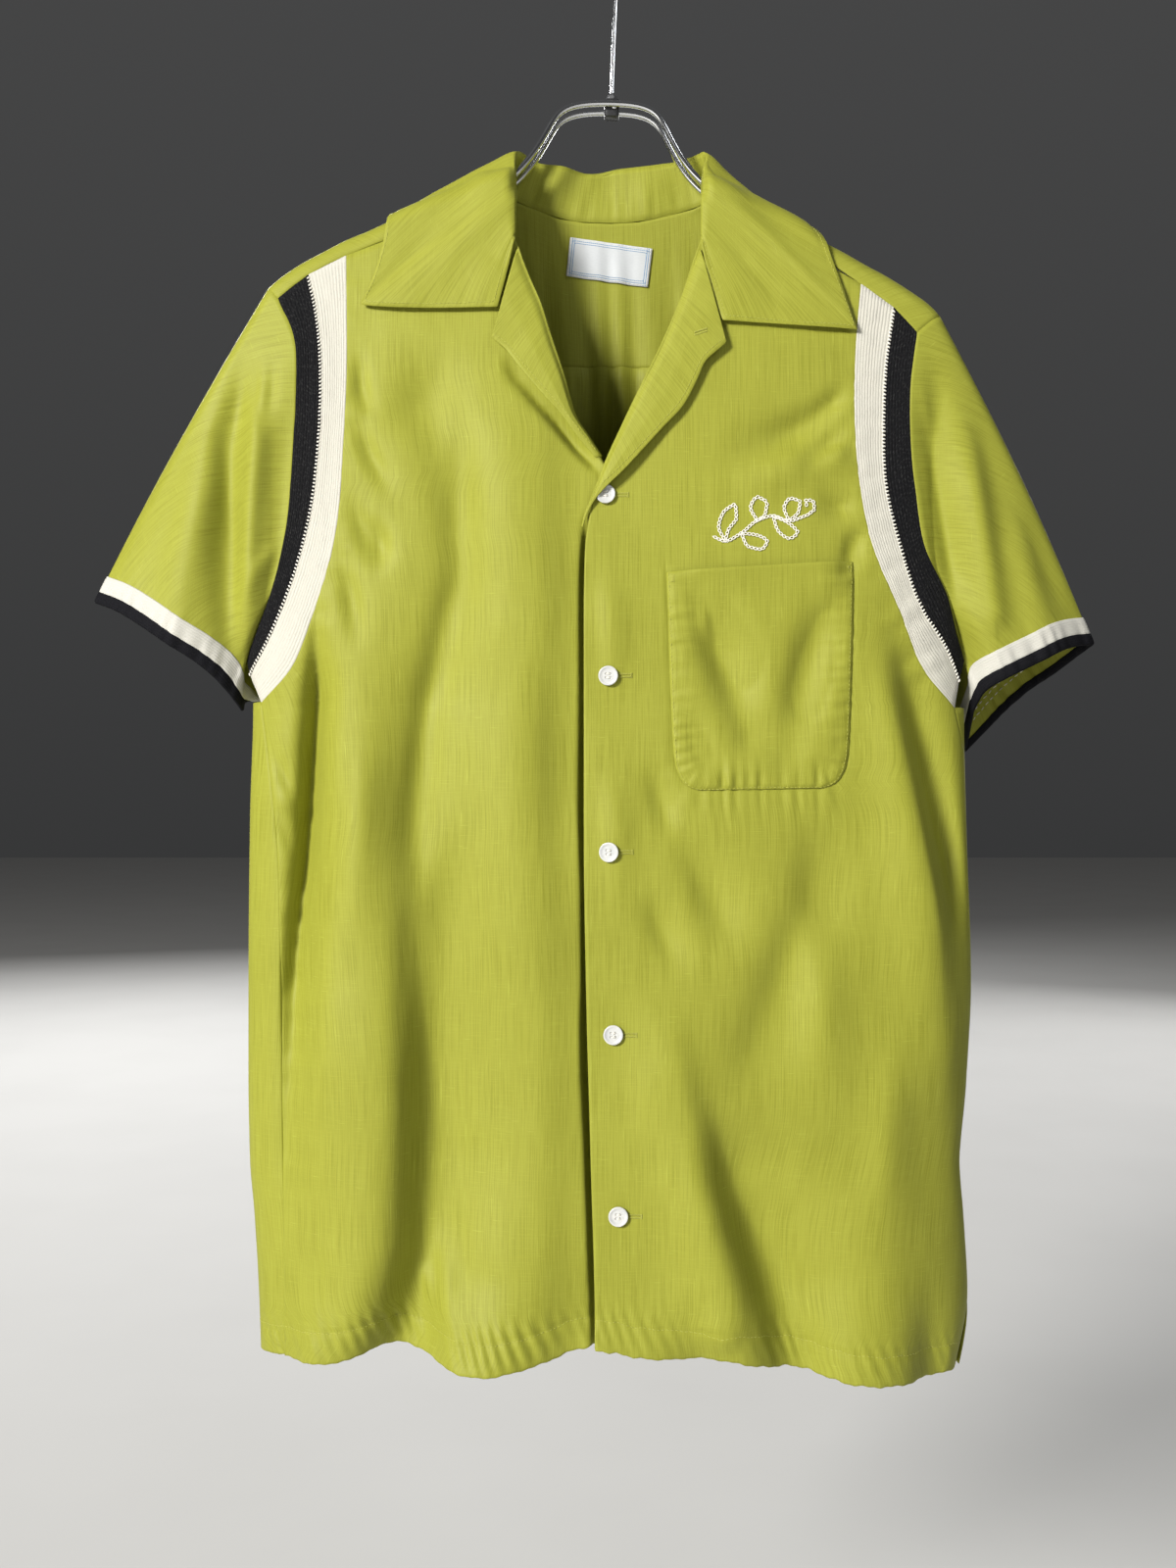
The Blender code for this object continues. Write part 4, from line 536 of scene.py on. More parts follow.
def frac_noise(x, y, seed):
    """Smooth noise between -1 and 1 on a unit lattice."""
    x, y = np.broadcast_arrays(np.asarray(x, float), np.asarray(y, float))
    i, j = np.floor(x), np.floor(y)
    u, v = x - i, y - j
    u, v = smooth(u), smooth(v)

    def corner(a, b):
        value = np.sin(a * 127.1 + b * 311.7 + seed * 74.7) * 43758.5453
        return value - np.floor(value)

    low = corner(i, j) * (1 - u) + corner(i + 1, j) * u
    high = corner(i, j + 1) * (1 - u) + corner(i + 1, j + 1) * u
    return 2 * (low * (1 - v) + high * v) - 1


def nearest(x, z, line):
    """Distance from each point to a line, and how far along the line that is."""
    best, arc = np.full(np.shape(x), 1e9), np.zeros(np.shape(x))
    run = 0.0
    for (ax, az), (bx, bz) in zip(line[:-1], line[1:]):
        t, off_x, off_z = on_segment(x, z, ax, az, bx, bz)
        away = np.hypot(off_x, off_z)
        long = math.hypot(bx - ax, bz - az)
        arc = np.where(away < best, run + t * long, arc)
        best = np.minimum(best, away)
        run += long
    return best, arc


def pucker(away, arc, pitch, reach, height, seed):
    """Small ridges square to a seam, strongest a little way from it."""
    share = np.clip(away, 0, None) / reach
    swell = share * np.exp(1 - share)
    turn = 2 * math.pi * arc / pitch
    wave = 0.6 * np.sin(turn + seed + 0.9 * np.sin(turn / 3.7 + 2 * seed))
    wave = wave + 0.4 * np.sin(turn / 1.618 + 1.3 * seed)
    local = 0.65 + 0.35 * frac_noise(arc / (3.1 * pitch), seed, seed)
    return height * swell * wave * local


def crumple(x, z, seed):
    """The faint unevenness of cotton that was folded and hung up again."""
    a = frac_noise(x / 34, z / 95, seed)
    b = frac_noise((x + 0.4 * z) / 26, (z - 0.4 * x) / 60, seed + 3)
    c = frac_noise(x / 11, z / 24, seed + 7)
    return 0.55 * a + 0.35 * b + 0.1 * c


# Distance of the topstitching from the hem and from the pocket's edge
HEM_STITCH = 18.0
POCKET_SIDE = 1.4


def insert_lines(table):
    """The three lines of an insert pair, each with the same rows."""
    return [along(line, ARM_SHARES) for line in table]


def hem_at(table, x):
    """Height of a hem's edge, with the small scallops that the sewing draws it into."""
    x = np.asarray(x, float)
    wave = 0.55 * np.sin(2 * math.pi * x / 17.0 + 1.2 * np.sin(x / 19.0)) + 0.4 * np.sin(x * 0.83 + 0.4)
    return from_table(table, x) + wave * (0.6 + 0.5 * frac_noise(x / 40, 1.5, 8.0))


def hem_waves(x, above, seed):
    """Drag lines in and above the hem: above is the height over the hem's edge."""
    over = above - HEM_STITCH
    turn = 2 * math.pi * (x + 0.4 * over) / 8.2
    wave = np.sin(turn + seed + 1.4 * np.sin(x / 11.0 + seed))
    wave = np.where(wave > 0, wave, 0.7 * wave) - 0.15
    band = bell(over + 7, 8.5) * 1.1 + bell(over - 4, 6) * 0.8
    groove = -0.6 * bell(over, 1.5)
    return band * wave * np.clip(0.75 + 0.7 * frac_noise(x / 27, seed, seed), 0.1, 1.5) + groove


def off_side(x, z):
    """1 over the body, falling to 0 at its sides, where the relief fades out."""
    return np.clip((1 - np.abs(x) / half_width(x, z)) / 0.06, 0, 1)


def front_detail(x, z):
    """Height of the fine relief of the fronts."""
    x, z = np.broadcast_arrays(np.asarray(x, float), np.asarray(z, float))
    total = CREASE_DEPTH * folds(FRONT_CREASES, x, z) + 1.2 * crumple(x, z, 2.0)
    total = total + FOLD_MORE * folds(FRONT_FOLDS, x, z)
    for table, seed in ((RIGHT_INSERT, 0.7), (LEFT_INSERT, 2.9)):
        away, arc = nearest(x, z, table[0])
        drawn = pucker(away, arc, 12.0, 6.0, 2.0, seed)
        total = total + drawn * bell(away, 20) * ramp(arc, 0, 30)
    away, arc = nearest(x, z, POCKET_LINE)
    total = total + pucker(away, arc, 7.5, 4.5, 1.3, 4.4) * np.where(away < 24, 1, 0)
    total = total - 0.7 * bell(away, 1.7)
    seam = np.abs(x - by_z(RIGHT_SIDE, z))
    total = total + pucker(seam, z, 21.0, 8.0, 1.3, 1.9) * ramp(-z, 540, 30)
    return total + hem_waves(x, z - hem_at(FRONT_HEM, x), 1.0)


def front_fine(x, z):
    """y of the fronts with their fine relief."""
    calm = np.clip((ridge(x) - z - 14) / 30, 0.15, 1)
    return front_y(x, z) - calm * off_side(x, z) * front_detail(x, z)


# Fine creases of the back, as for the fronts
BACK_CREASES = [
    [(-105, -330, 0, 10, 16), (-98, -420, -1.6, 12, 18), (-92, -520, -2.0, 13, 20),
     (-88, -640, -1.2, 14, 20), (-86, -720, 0, 14, 20)],
    [(118, -300, 0, 10, 12), (104, -380, -1.6, 12, 14), (95, -470, -2.2, 13, 16),
     (92, -600, -1.4, 14, 18), (96, -700, 0, 14, 18)],
    [(10, -420, 0, 14, 14), (4, -520, -1.2, 15, 16), (0, -640, -2.0, 16, 18), (-6, -780, -2.4, 18, 20),
     (-10, -930, -2.2, 18, 20)],
    [(-150, -560, 0, 12, 14), (-146, -680, -1.8, 14, 16), (-140, -800, -2.2, 14, 18),
     (-136, -930, -1.6, 16, 18)],
    [(150, -600, 0, 12, 14), (146, -700, -1.6, 13, 16), (150, -820, -2.2, 14, 18),
     (154, -930, -1.8, 14, 18)],
    [(-170, -455, 0, 8, 8), (-140, -470, -0.8, 11, 13), (-110, -495, -0.8, 12, 15),
     (-84, -530, 0, 10, 12)],
    [(172, -455, 0, 8, 8), (142, -476, -0.9, 11, 13), (112, -505, -0.8, 12, 15), (88, -540, 0, 10, 12)],
    [(-52, -560, 0, 10, 12), (-46, -700, 1.2, 12, 14), (-44, -820, 1.4, 12, 14),
     (-48, -930, 0.8, 12, 14)],
]


def back_detail(x, z):
    """Unevenness and hem of the back."""
    return 0.9 * crumple(x, z, 11.0) + hem_waves(x, z - hem_at(BACK_HEM, x), 5.0)


def back_fine(x, z):
    """y of the back with its fine relief and the gathers under the yoke."""
    calm = np.clip((ridge(x) - z - 16) / 30, 0.1, 1)
    total = back_detail(x, z) + CREASE_DEPTH * folds(BACK_CREASES, x, z)
    down = yoke_seam_z(x) - z
    gather = bell(x - 6, 48)
    soft = np.sin(2 * math.pi * x / 19 + 1.3 * np.sin(x / 9) + z / 60)
    total = total + 1.6 * soft * np.exp(-((x / 75) ** 2) - ((z + 315) / 75) ** 2)
    total = total + gather * pucker(np.clip(down, 0, None), x, 8.0, 9.0, 1.0, 0.4)
    total = total + pucker(np.abs(down), x, 16.0, 6.0, 0.35, 3.3)
    return back_y(x, z) + calm * off_side(x, z) * total


def side_relief(x, y, z):
    """Fine relief of the back, also where it comes round onto the front."""
    return np.where(y > 0, 1, -1) * off_side(x, z) * back_detail(x, z)


def points_on(surface, flat):
    """Points of a surface above x and z."""
    flat = np.asarray(flat, float)
    x, z = flat[..., 0], flat[..., 1]
    return np.stack([x, surface(x, z), z], axis=-1)


def front_points(flat):
    return points_on(front_fine, flat)


def back_points(flat):
    return points_on(back_fine, flat)


HEM_LEVEL = -940  # the rows are spaced from here, and the hem's curve is added to the lowest
LEFT_UNDERARM_X = LEFT_INSERT[0][0][0]


def hem_rows():
    """Shares of the height below the underarm: close rows in the hem, wider above."""
    low = np.linspace(0, 0.062, HEM_ROWS)
    return np.r_[low[:-1], np.linspace(low[-1], 1, LOW_ROWS - HEM_ROWS + 2)]


def hem_fall(hang):
    """Share of the hem's curve that a row takes on: hang is 1 at the hem, 0 at the underarm."""
    return ramp(hang, 0.35, 0.65)


def front_panel(edge, side, insert):
    """x and z of one front: rows from hem to shoulder seam, columns from opening to side."""
    inner_line = insert_lines(insert)[0]
    under_z = inner_line[0][1]
    rows = [(HEM_LEVEL + t * (under_z - HEM_LEVEL), None, 1 - t) for t in hem_rows()[:-1]]
    top_z = edge[-1][1]
    for t, out in zip(ARM_SHARES, inner_line):
        rows.append((under_z + (top_z - under_z) * t, out, 0))
    grid = []
    for z, out, hang in rows:
        out_x, out_z = (side(z), z) if out is None else out
        in_x = by_z(edge, z)
        u = np.linspace(0, 1, FRONT_COLS + 1)
        share = abs(out_x) / half_width(out_x, z)
        turned = ramp(share, 0.9, 0.08) * ramp(under_z - 8 - (z + out_z) / 2, 0, 130)
        u = u + (np.sin(u * math.pi / 2) * 0.8 + u * 0.2 - u) * turned
        x = in_x + (out_x - in_x) * u
        level = z + (out_z - z) * u + (hem_at(FRONT_HEM, x) - HEM_LEVEL) * hem_fall(hang)
        grid.append(np.stack([x, level], axis=-1))
    return np.array(grid)


def right_side(z):
    return by_z(RIGHT_SIDE, z)


def left_side(z):
    """The side seam on +X, on the body's outline up to where it turns in to the underarm."""
    outline = body(z, 2) - 0.4
    return outline + ramp(z, -560, 30) * (LEFT_UNDERARM_X - outline)


def ring_row(z, left, right, from_front):
    """x and y of a level line at height z, from x left round the back to x right."""
    wide_l, wide_r = float(body(z, 1)), float(body(z, 2))
    low = -wide_l if from_front else left
    high = wide_r if from_front else right
    angle = np.linspace(math.asin(max(-1, low / wide_l)), math.asin(min(1, high / wide_r)), 420)
    x = np.where(angle < 0, wide_l, wide_r) * np.sin(angle)
    line = np.stack([x, back_y(x, np.full_like(x, z))], axis=-1)
    if not from_front:
        return line
    quarter = np.sin(np.linspace(0, 1, 90) * math.pi / 2)
    ends = []
    for start, wide in ((left, -wide_l), (right, wide_r)):
        x = start + (wide - start) * quarter
        ends.append(np.stack([x, front_y(x, np.full_like(x, z))], axis=-1)[:-1])
    return np.concatenate([ends[0], line, ends[1][::-1]])


# Where the back's columns lie on a row, as shares of its length: closer toward its ends
BACK_KEYS = np.r_[
    0, 0.018, 0.04, 0.066, 0.1, 0.14, np.linspace(0.185, 0.815, 12), 0.86, 0.9, 0.934, 0.96, 0.982, 1
]
BACK_SHARES = np.interp(
    np.linspace(0, len(BACK_KEYS) - 1, BACK_COLS), np.arange(len(BACK_KEYS)), BACK_KEYS
)


def yoke_seam_z(x):
    return ease([-230, -209, 0, 203, 230], [-294, -297, -297.5, -308, -310], x)


def spread(left, right):
    """Shares of a row's length for the back's columns, with a share of it left for each end."""
    return np.interp(BACK_SHARES, [0, 0.03, 0.97, 1], [0, left, 1 - right, 1])


def wrapped(line, arm_x):
    """Share of a row that lies round the side, out of the armhole's reach."""
    step = lengths(line)
    out = np.abs(line[:, 0])
    far = int(np.argmax(out[:len(out) // 2]))
    inside = far + int(np.argmax(out[far:] < abs(arm_x)))
    return step[inside] / step[-1]


def back_panel():
    """Grid of the back: rows from hem to yoke seam, columns round from -X to +X."""
    arm_l = along(RIGHT_BACK_ARM, ARM_SHARES)
    arm_r = along(LEFT_BACK_ARM, ARM_SHARES)
    grid = []
    for t in hem_rows():
        zl, zr = (HEM_LEVEL + t * (arm[0][1] - HEM_LEVEL) for arm in (arm_l, arm_r))
        xl, xr = float(right_side(zl)), float(left_side(zr))
        line = ring_row((zl + zr) / 2, xl, xr, True)
        join = smooth(ramp(t, 0.6, 0.4))
        round_l, round_r = wrapped(line, arm_l[1][0]), wrapped(line[::-1], arm_r[1][0])
        x, y = resampled(line, spread(0.03 + (round_l - 0.03) * join, 0.03 + (round_r - 0.03) * join)).T
        hem = hem_at(BACK_HEM, x)
        edge_l, edge_r = hem_at(FRONT_HEM, [xl, xr])
        hem = hem + (edge_l - hem) * np.clip(1 - BACK_SHARES / 0.06, 0, 1)
        hem = hem + (edge_r - hem) * np.clip(1 - (1 - BACK_SHARES) / 0.06, 0, 1)
        level = zl + (zr - zl) * BACK_SHARES + (hem - HEM_LEVEL) * hem_fall(1 - t)
        row = np.stack([x, y + side_relief(x, y, level), level], axis=-1)
        row[[0, -1]] = front_points([(xl, level[0]), (xr, level[-1])])
        grid.append(row)
    for k in range(1, ARM_ROWS + 1):
        (xl, zl), (xr, zr) = arm_l[k], arm_r[k]
        line = ring_row((zl + zr) / 2, float(xl), float(xr), False)
        end = 0.002 + 0.028 * smooth(min(1.0, k / 20))
        x = resampled(line, spread(end, end))[:, 0]
        level = yoke_seam_z(x) if k == ARM_ROWS else zl + (zr - zl) * BACK_SHARES
        grid.append(back_points(np.stack([x, level], axis=-1)))
    return np.array(grid)


def yoke_panel():
    """Grid of the yoke: rows from the front seam over the shoulder to the back seam."""
    at = np.linspace(0, len(YOKE) - 1, (len(YOKE) - 1) * 5 + 1)
    depth = [(-1 if kind < 0 else 1) * abs(float(ridge(x)) - z) for x, z, kind, _, _ in YOKE]
    table = (column(YOKE, 0), column(YOKE, 1), depth, column(YOKE, 3), column(YOKE, 4))
    values = [np.interp(at, np.arange(len(YOKE)), v) for v in table]
    tight = np.linspace(0, 1, 90) ** 2
    columns = []
    for start_x, start_z, first, top_x, end_x in zip(*values):
        last = float(ridge(end_x) - yoke_seam_z(end_x))
        low = max(first, 0)
        stations = first + (last - first) * tight
        if first < 0:
            stations = np.r_[(first * tight)[::-1][:-1], last * tight]
        from_x = top_x if first < 0 else start_x
        ahead = stations < 0
        x = np.where(ahead, top_x + (start_x - top_x) * stations / min(first, -1e-6),
                     from_x + (end_x - from_x) * (stations - low) / (last - low))
        z = ridge(x) - np.abs(stations)
        z[0], z[-1] = start_z, yoke_seam_z(x[-1])
        line = np.stack([x, np.where(ahead, front_fine(x, z), back_fine(x, z)), z], axis=-1)
        columns.append(resampled(line, np.linspace(0, 1, YOKE_ROWS)))
    return np.array(columns).transpose(1, 0, 2)


# Making the meshes


def normals(grid, closed=False):
    """Unit normal at each point of a grid, from its neighbours."""
    down = np.gradient(grid, axis=0)
    if closed:
        across = np.roll(grid, -1, axis=1) - np.roll(grid, 1, axis=1)
    else:
        across = np.gradient(grid, axis=1)
    return unit(np.cross(across, down))


def quads(a, b, c, d):
    return np.stack([a, b, c, d], axis=-1).reshape(-1, 4)


def placed(name, data, look):
    """An object in the scene that rides on the row's body."""
    data.materials.append(look)
    item = bpy.data.objects.new(name, data)
    bpy.context.scene.collection.objects.link(item)
    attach(item, "root")
    return item


def add_mesh(name, points, faces, look, flat=None, smooth=True):
    """A mesh object from points in millimetres. flat holds the weave's own coordinates."""
    mesh = bpy.data.meshes.new(name)
    faces = faces.tolist() if isinstance(faces, np.ndarray) else faces
    mesh.from_pydata((np.asarray(points) * MM).tolist(), [], faces)
    mesh.update()
    mesh.polygons.foreach_set("use_smooth", [smooth] * len(mesh.polygons))
    if flat is not None:
        data = mesh.attributes.new("flat", "FLOAT_VECTOR", "POINT")
        data.data.foreach_set("vector", np.asarray(flat, np.float32).ravel() * MM)
    return placed(name, mesh, look)


def band_faces(first, second, steps):
    """Faces between two rings of points whose numbers start at first and second."""
    turn = [(k, (k + 1) % steps) for k in range(steps)]
    return [(first + k, first + n, second + n, second + k) for k, n in turn]


def grain_of(grid, closed):
    """Distances along the rows and down the columns, for the weave."""
    u = lengths(grid, 1)
    u = u - u.mean(axis=1, keepdims=True) if not closed else u
    return np.stack([u, lengths(grid), np.zeros_like(u)], axis=-1)


def cloth(name, grid, look, slot, facing, thick=CLOTH, closed=False, gap=0.12, grain=None):
    """A thin closed wall with rounded edges round a grid of middle points, in millimetres."""
    grid = np.array(grid, float)
    out = normals(grid, closed)
    if closed:
        turned = np.sum(out * (grid - grid.mean(axis=1, keepdims=True))) < 0
    else:
        turned = facing is not None and np.sum(out * np.array(facing, float)) < 0
    if turned:
        out = -out
    if gap and not closed:
        source = grid.copy()
        for edge, near in ((np.s_[0], np.s_[1]), (np.s_[-1], np.s_[-2])):
            grid[edge] += unit(source[near] - source[edge]) * gap
        for edge, near in ((np.s_[:, 0], np.s_[:, 1]), (np.s_[:, -1], np.s_[:, -2])):
            grid[edge] += unit(source[near] - source[edge]) * gap
    rows, cols = grid.shape[:2]
    number = np.arange(rows * cols).reshape(rows, cols)
    count = rows * cols
    flat = grain_of(grid, closed) if grain is None else grain
    right = np.roll(number, -1, axis=1) if closed else number[:, 1:]
    left = number if closed else number[:, :-1]
    a, b, c, d = left[:-1], right[:-1], right[1:], left[1:]
    faces = [quads(a, b, c, d), quads(a, d, c, b) + count]
    points = [(grid + out * thick / 2).reshape(-1, 3), (grid - out * thick / 2).reshape(-1, 3)]
    marks = [flat.reshape(-1, 3), flat.reshape(-1, 3)]
    if closed:
        loops = [(number[0], number[1]), (number[-1][::-1], number[-2][::-1])]
    else:
        rim = np.r_[number[0, :-1], number[:-1, -1], number[-1, :0:-1], number[:0:-1, 0]]
        near = np.r_[number[1, :-1], number[:-1, -2], number[-2, :0:-1], number[:0:-1, 1]]
        loops = [(rim, near)]
    done = 2 * count
    middle = grid.reshape(-1, 3)
    for rim, near in loops:
        lip = middle[rim] + unit(middle[rim] - middle[near]) * thick * 0.42
        points.append(lip)
        marks.append(flat.reshape(-1, 3)[rim])
        n = len(rim)
        here, after = np.arange(n), np.roll(np.arange(n), -1)
        faces.append(quads(rim[after], rim[here], done + here, done + after))
        faces.append(quads(done + after, done + here, count + rim[here], count + rim[after]))
        done += n
    faces = np.concatenate(faces)
    if turned:
        faces = faces[:, ::-1]
    return add_mesh(name, np.concatenate(points), faces, look, np.concatenate(marks))


# A stitch along its length: share of it, share of the radius, share of the arch
STITCH = ((0.0, 0.25, -0.4), (0.16, 0.9, 0.5), (0.5, 1.0, 1.0), (0.84, 0.9, 0.5), (1.0, 0.25, -0.4))


def stitches(name, runs, look, sides=5):
    """Many short raised threads in one mesh. Each: start, end, normal, radius, arch."""
    points, faces, marks = [], [], []
    turn = np.arange(sides) * 2 * math.pi / sides
    for start, end, out, radius, arch in runs:
        start, end, out = (np.asarray(v, float) for v in (start, end, out))
        way = unit(end - start)
        side = unit(np.cross(way, out))
        up = np.cross(side, way)
        base = len(points)
        for share, wide, high in STITCH:
            centre = start + (end - start) * share + up * arch * high
            for a in turn:
                points.append(centre + (side * math.cos(a) + up * math.sin(a)) * radius * wide)
                marks.append((share * 3, a, 0))
        last = base + (len(STITCH) - 1) * sides
        for ring in range(base, last, sides):
            faces += band_faces(ring, ring + sides, sides)
        faces.append(tuple(range(base, base + sides))[::-1])
        faces.append(tuple(range(last, last + sides)))
    return add_mesh(name, np.array(points), faces, look, np.array(marks))


def stitch_row(line, out, pitch, length, radius=0.24, arch=0.18, wobble=0.12):
    """Stitches along a line of surface points with normals out, pitch apart."""
    out = np.broadcast_to(np.asarray(out, float), line.shape)
    arc = lengths(line)
    count = max(1, int(arc[-1] / pitch))
    runs = []
    for k in range(count):
        low = (k + 0.5) * arc[-1] / count - length / 2
        start, end = point_at(low, arc, line), point_at(low + length, arc, line)
        n = unit(point_at(low + length / 2, arc, out))
        shift = unit(np.cross(end - start, n)) * wobble * math.sin(k * 2.399)
        runs.append((start - shift, end + shift, n, radius, arch))
    return runs


def tube(name, path, radius, look, cyclic):
    """A round wire along a path."""
    curve = bpy.data.curves.new(name, "CURVE")
    curve.dimensions = "3D"
    curve.bevel_depth = radius * MM
    curve.bevel_resolution = 6
    curve.use_fill_caps = not cyclic
    spline = curve.splines.new("POLY")
    spline.points.add(len(path) - 1)
    for point, (x, y, z) in zip(spline.points, path):
        point.co = (x * MM, y * MM, z * MM, 1)
    spline.use_cyclic_u = cyclic
    spline.use_smooth = True
    return placed(name, curve, look)


def turned(outline, steps, centre, axis):
    """Points and faces of a turned solid: outline as radius and height along the axis."""
    axis = unit(np.array(axis, float))
    side = unit(np.cross(axis, (0.3, 0.1, 1.0)))
    other = np.cross(axis, side)
    points = [np.array(centre) + axis * outline[0][1]]
    for radius, high in outline[1:-1]:
        for k in range(steps):
            a = 2 * math.pi * k / steps
            off = side * math.cos(a) + other * math.sin(a)
            points.append(np.array(centre) + axis * high + radius * off)
    points.append(np.array(centre) + axis * outline[-1][1])
    faces = []
    last = 1 + (len(outline) - 3) * steps
    for k in range(steps):
        n = (k + 1) % steps
        faces += [(0, 1 + n, 1 + k), (last + k, last + n, len(points) - 1)]
    for ring in range(1, last, steps):
        faces += band_faces(ring, ring + steps, steps)
    return np.array(points), faces



def sleeve_row(loop, ends, t, share):
    """One closed row of a sleeve at shares t of the way from armhole to hem."""
    t = np.broadcast_to(np.asarray(t, float), share.shape)
    p = loop + (ends - loop) * t[:, None]
    swell = np.sin(np.pi * t)
    flank = np.sin(np.pi * np.clip(share, 0, 2))
    p[:, 1] -= 3.0 * swell * flank
    rise = bell(share - 1, 0.25) * swell * 3.5
    way = np.sign(p[:, 0])
    p[:, 0] += way * rise * 0.85
    p[:, 2] += rise * 0.5
    fade = np.clip(t * 6, 0, 1) * np.clip(np.abs(flank) * 2.2, 0, 1)
    lift = 1.25 * folds(SLEEVE_FOLDS, p[:, 0], p[:, 2]) + 1.4 * folds(SLEEVE_CREASES, p[:, 0], p[:, 2])
    lift = lift + 1.1 * crumple(p[:, 0], p[:, 2], 17.0)
    p[:, 1] += np.where(share < 1, -lift, lift * 0.8) * fade
    return p


class Sleeve:
    """A sleeve's loops: asked for a distance from the hem, it gives the row that lies there."""

    def __init__(self, out_line, yoke_end, arm, hem):
        front = front_points(out_line)
        way = np.sign(front[0, 0])
        step = np.linspace(0, 11, len(front))
        front[:, 0] += way * np.interp(step, [0, 1, 2, 3], [3.2, 1.8, 0.5, 0])
        front[:, 1] += np.interp(step, [0, 1, 2, 3], [5.5, 2.4, 0.5, 0])
        back = back_points(arm)
        self.loop = np.concatenate([front, yoke_end[1:], back[::-1][1:-1]])
        top = len(front) - 1 + int(np.argmax(yoke_end[:, 2]))
        step = lengths(self.loop)
        behind = 1 + (step - step[top]) / (step[-1] - step[top])
        self.share = np.where(np.arange(len(self.loop)) <= top, step / step[top], behind)
        tip = len(hem) // 2
        front_hem = along(hem[:tip + 1], np.clip(self.share, 0, 1))
        back_hem = along(hem[tip:], np.clip(self.share - 1, 0, 1))
        self.ends = np.where((self.share <= 1)[:, None], front_hem, back_hem)
        self.length = np.linalg.norm(self.ends - self.loop, axis=1)
        self.trim = np.minimum(TRIM, 0.75 * self.length)

    def row(self, left):
        """The row at a distance left to the hem, where TRIM is the bands' upper edge."""
        t = 1 - self.trim * left / TRIM / self.length
        return self.ruffled(sleeve_row(self.loop, self.ends, t, self.share), left)

    def ruffled(self, row, left):
        """Small waves round the sleeve where the tape's stitches draw it in."""
        arc = lengths(row)
        turn = 2 * math.pi * arc / 10
        wave = np.sin(turn + 1.2 * np.sin(turn / 3.7)) * (0.6 + 0.6 * frac_noise(arc / 22, 0.5, 8.0))
        from_fold = np.minimum(np.minimum(self.share, 2 - self.share), np.abs(1 - self.share))
        flat = ramp(from_fold, 0, 0.12)
        row = row.copy()
        way = np.where(self.share < 1, -1, 1)
        row[:, 1] += way * flat * 0.9 * wave * np.exp(-np.clip(left - 11, 0, None) / 6)
        return row

    def grid(self):
        rows = []
        for v in np.linspace(0, 1, SLEEVE_MAIN)[:-1]:
            t = v * (1 - self.trim / self.length)
            row = sleeve_row(self.loop, self.ends, t, self.share)
            rows.append(self.ruffled(row, (1 - t) * self.length))
        rows += [self.row(left) for left in np.linspace(TRIM, 0, 13)]
        return np.array(rows)

    def layer(self, stations):
        """A closed strip that lies on the sleeve: distance from the hem, height over the cloth."""
        grid = np.array([self.row(left) for left, _ in stations])
        low, high = self.row(3.0), self.row(0.0)
        out = unit(np.cross(np.roll(high, -1, axis=0) - np.roll(high, 1, axis=0), high - low))
        if np.sum(out * (high - high.mean(axis=0))) < 0:
            out = -out
        return grid + out[None] * np.array([lift for _, lift in stations])[:, None, None]


# Fine creases of the sleeves, as for the fronts
SLEEVE_CREASES = [
    [(-268, -330, 0, 10, 12), (-288, -392, 1.4, 12, 14), (-300, -440, 0, 12, 14)],
    [(-252, -334, 0, 6, 7), (-247, -370, -1.6, 6, 7), (-240, -430, -1.8, 6, 8), (-238, -490, 0, 6, 8)],
    [(-196, -318, 0, 9, 4), (-201, -371, -3, 9, 4), (-206, -433, -3, 10, 4), (-217, -477, 0, 10, 5)],
    [(-224, -300, 0, 4, 5), (-226, -333, -2, 4, 5), (-220, -366, 0, 4, 5)],
    [(190, -310, 0, 4, 6), (193, -367, -3, 4, 8), (205, -440, -3, 5, 9), (216, -490, 0, 5, 8)],
    [(203, -310, 0, 6, 8), (210, -367, 3, 6, 8), (221, -430, 3, 7, 8), (228, -490, 0, 7, 8)],
    [(230, -350, 0, 10, 14), (246, -420, 3, 11, 14), (256, -490, 2, 11, 14)],
    [(-214, -300, 0, 4, 4), (-216, -330, -2, 4, 5), (-222, -360, 0, 5, 5)],
    [(-206, -420, 0, 4, 4), (-222, -440, 1.6, 5, 6), (-238, -470, 0, 6, 6)],
    [(196, -320, 0, 4, 5), (202, -350, 1.8, 4, 5), (208, -390, 0, 5, 5)],
    [(262, -400, 0, 7, 8), (276, -440, -1.6, 8, 9), (290, -478, 0, 9, 9)],
    [(216, -440, 0, 5, 6), (228, -470, 2, 6, 6), (240, -500, 0, 6, 7)],
]


def eased_rows(table, at):
    """Rows of a table at row numbers between its own."""
    keys = np.arange(len(table))
    return np.stack([ease(keys, column(table, k), at) for k in range(len(table[0]))], axis=-1)


def off_body(p, clear):
    """Moves points out to lie at least this far off the fronts, yoke and back."""
    p = p.copy()
    x, y, z = p[..., 0], p[..., 1], p[..., 2]
    middle = ridge(x) - CAP_DROP
    wide = np.where(y < 0, 18.7, 19.9) + clear
    tall = CAP_DROP + clear
    share = np.sqrt((y / wide) ** 2 + ((z - middle) / tall) ** 2)
    high = z > middle
    grow = np.where(high & (share < 1), 1 / np.maximum(share, 0.2), 1)
    ahead = np.minimum(y, front_y(x, z) - clear)
    behind = np.maximum(y, back_y(x, z) + clear)
    p[..., 1] = np.where(high, y * grow, np.where(y < 0, ahead, behind))
    p[..., 2] = np.where(high, middle + (z - middle) * grow, z)
    return p


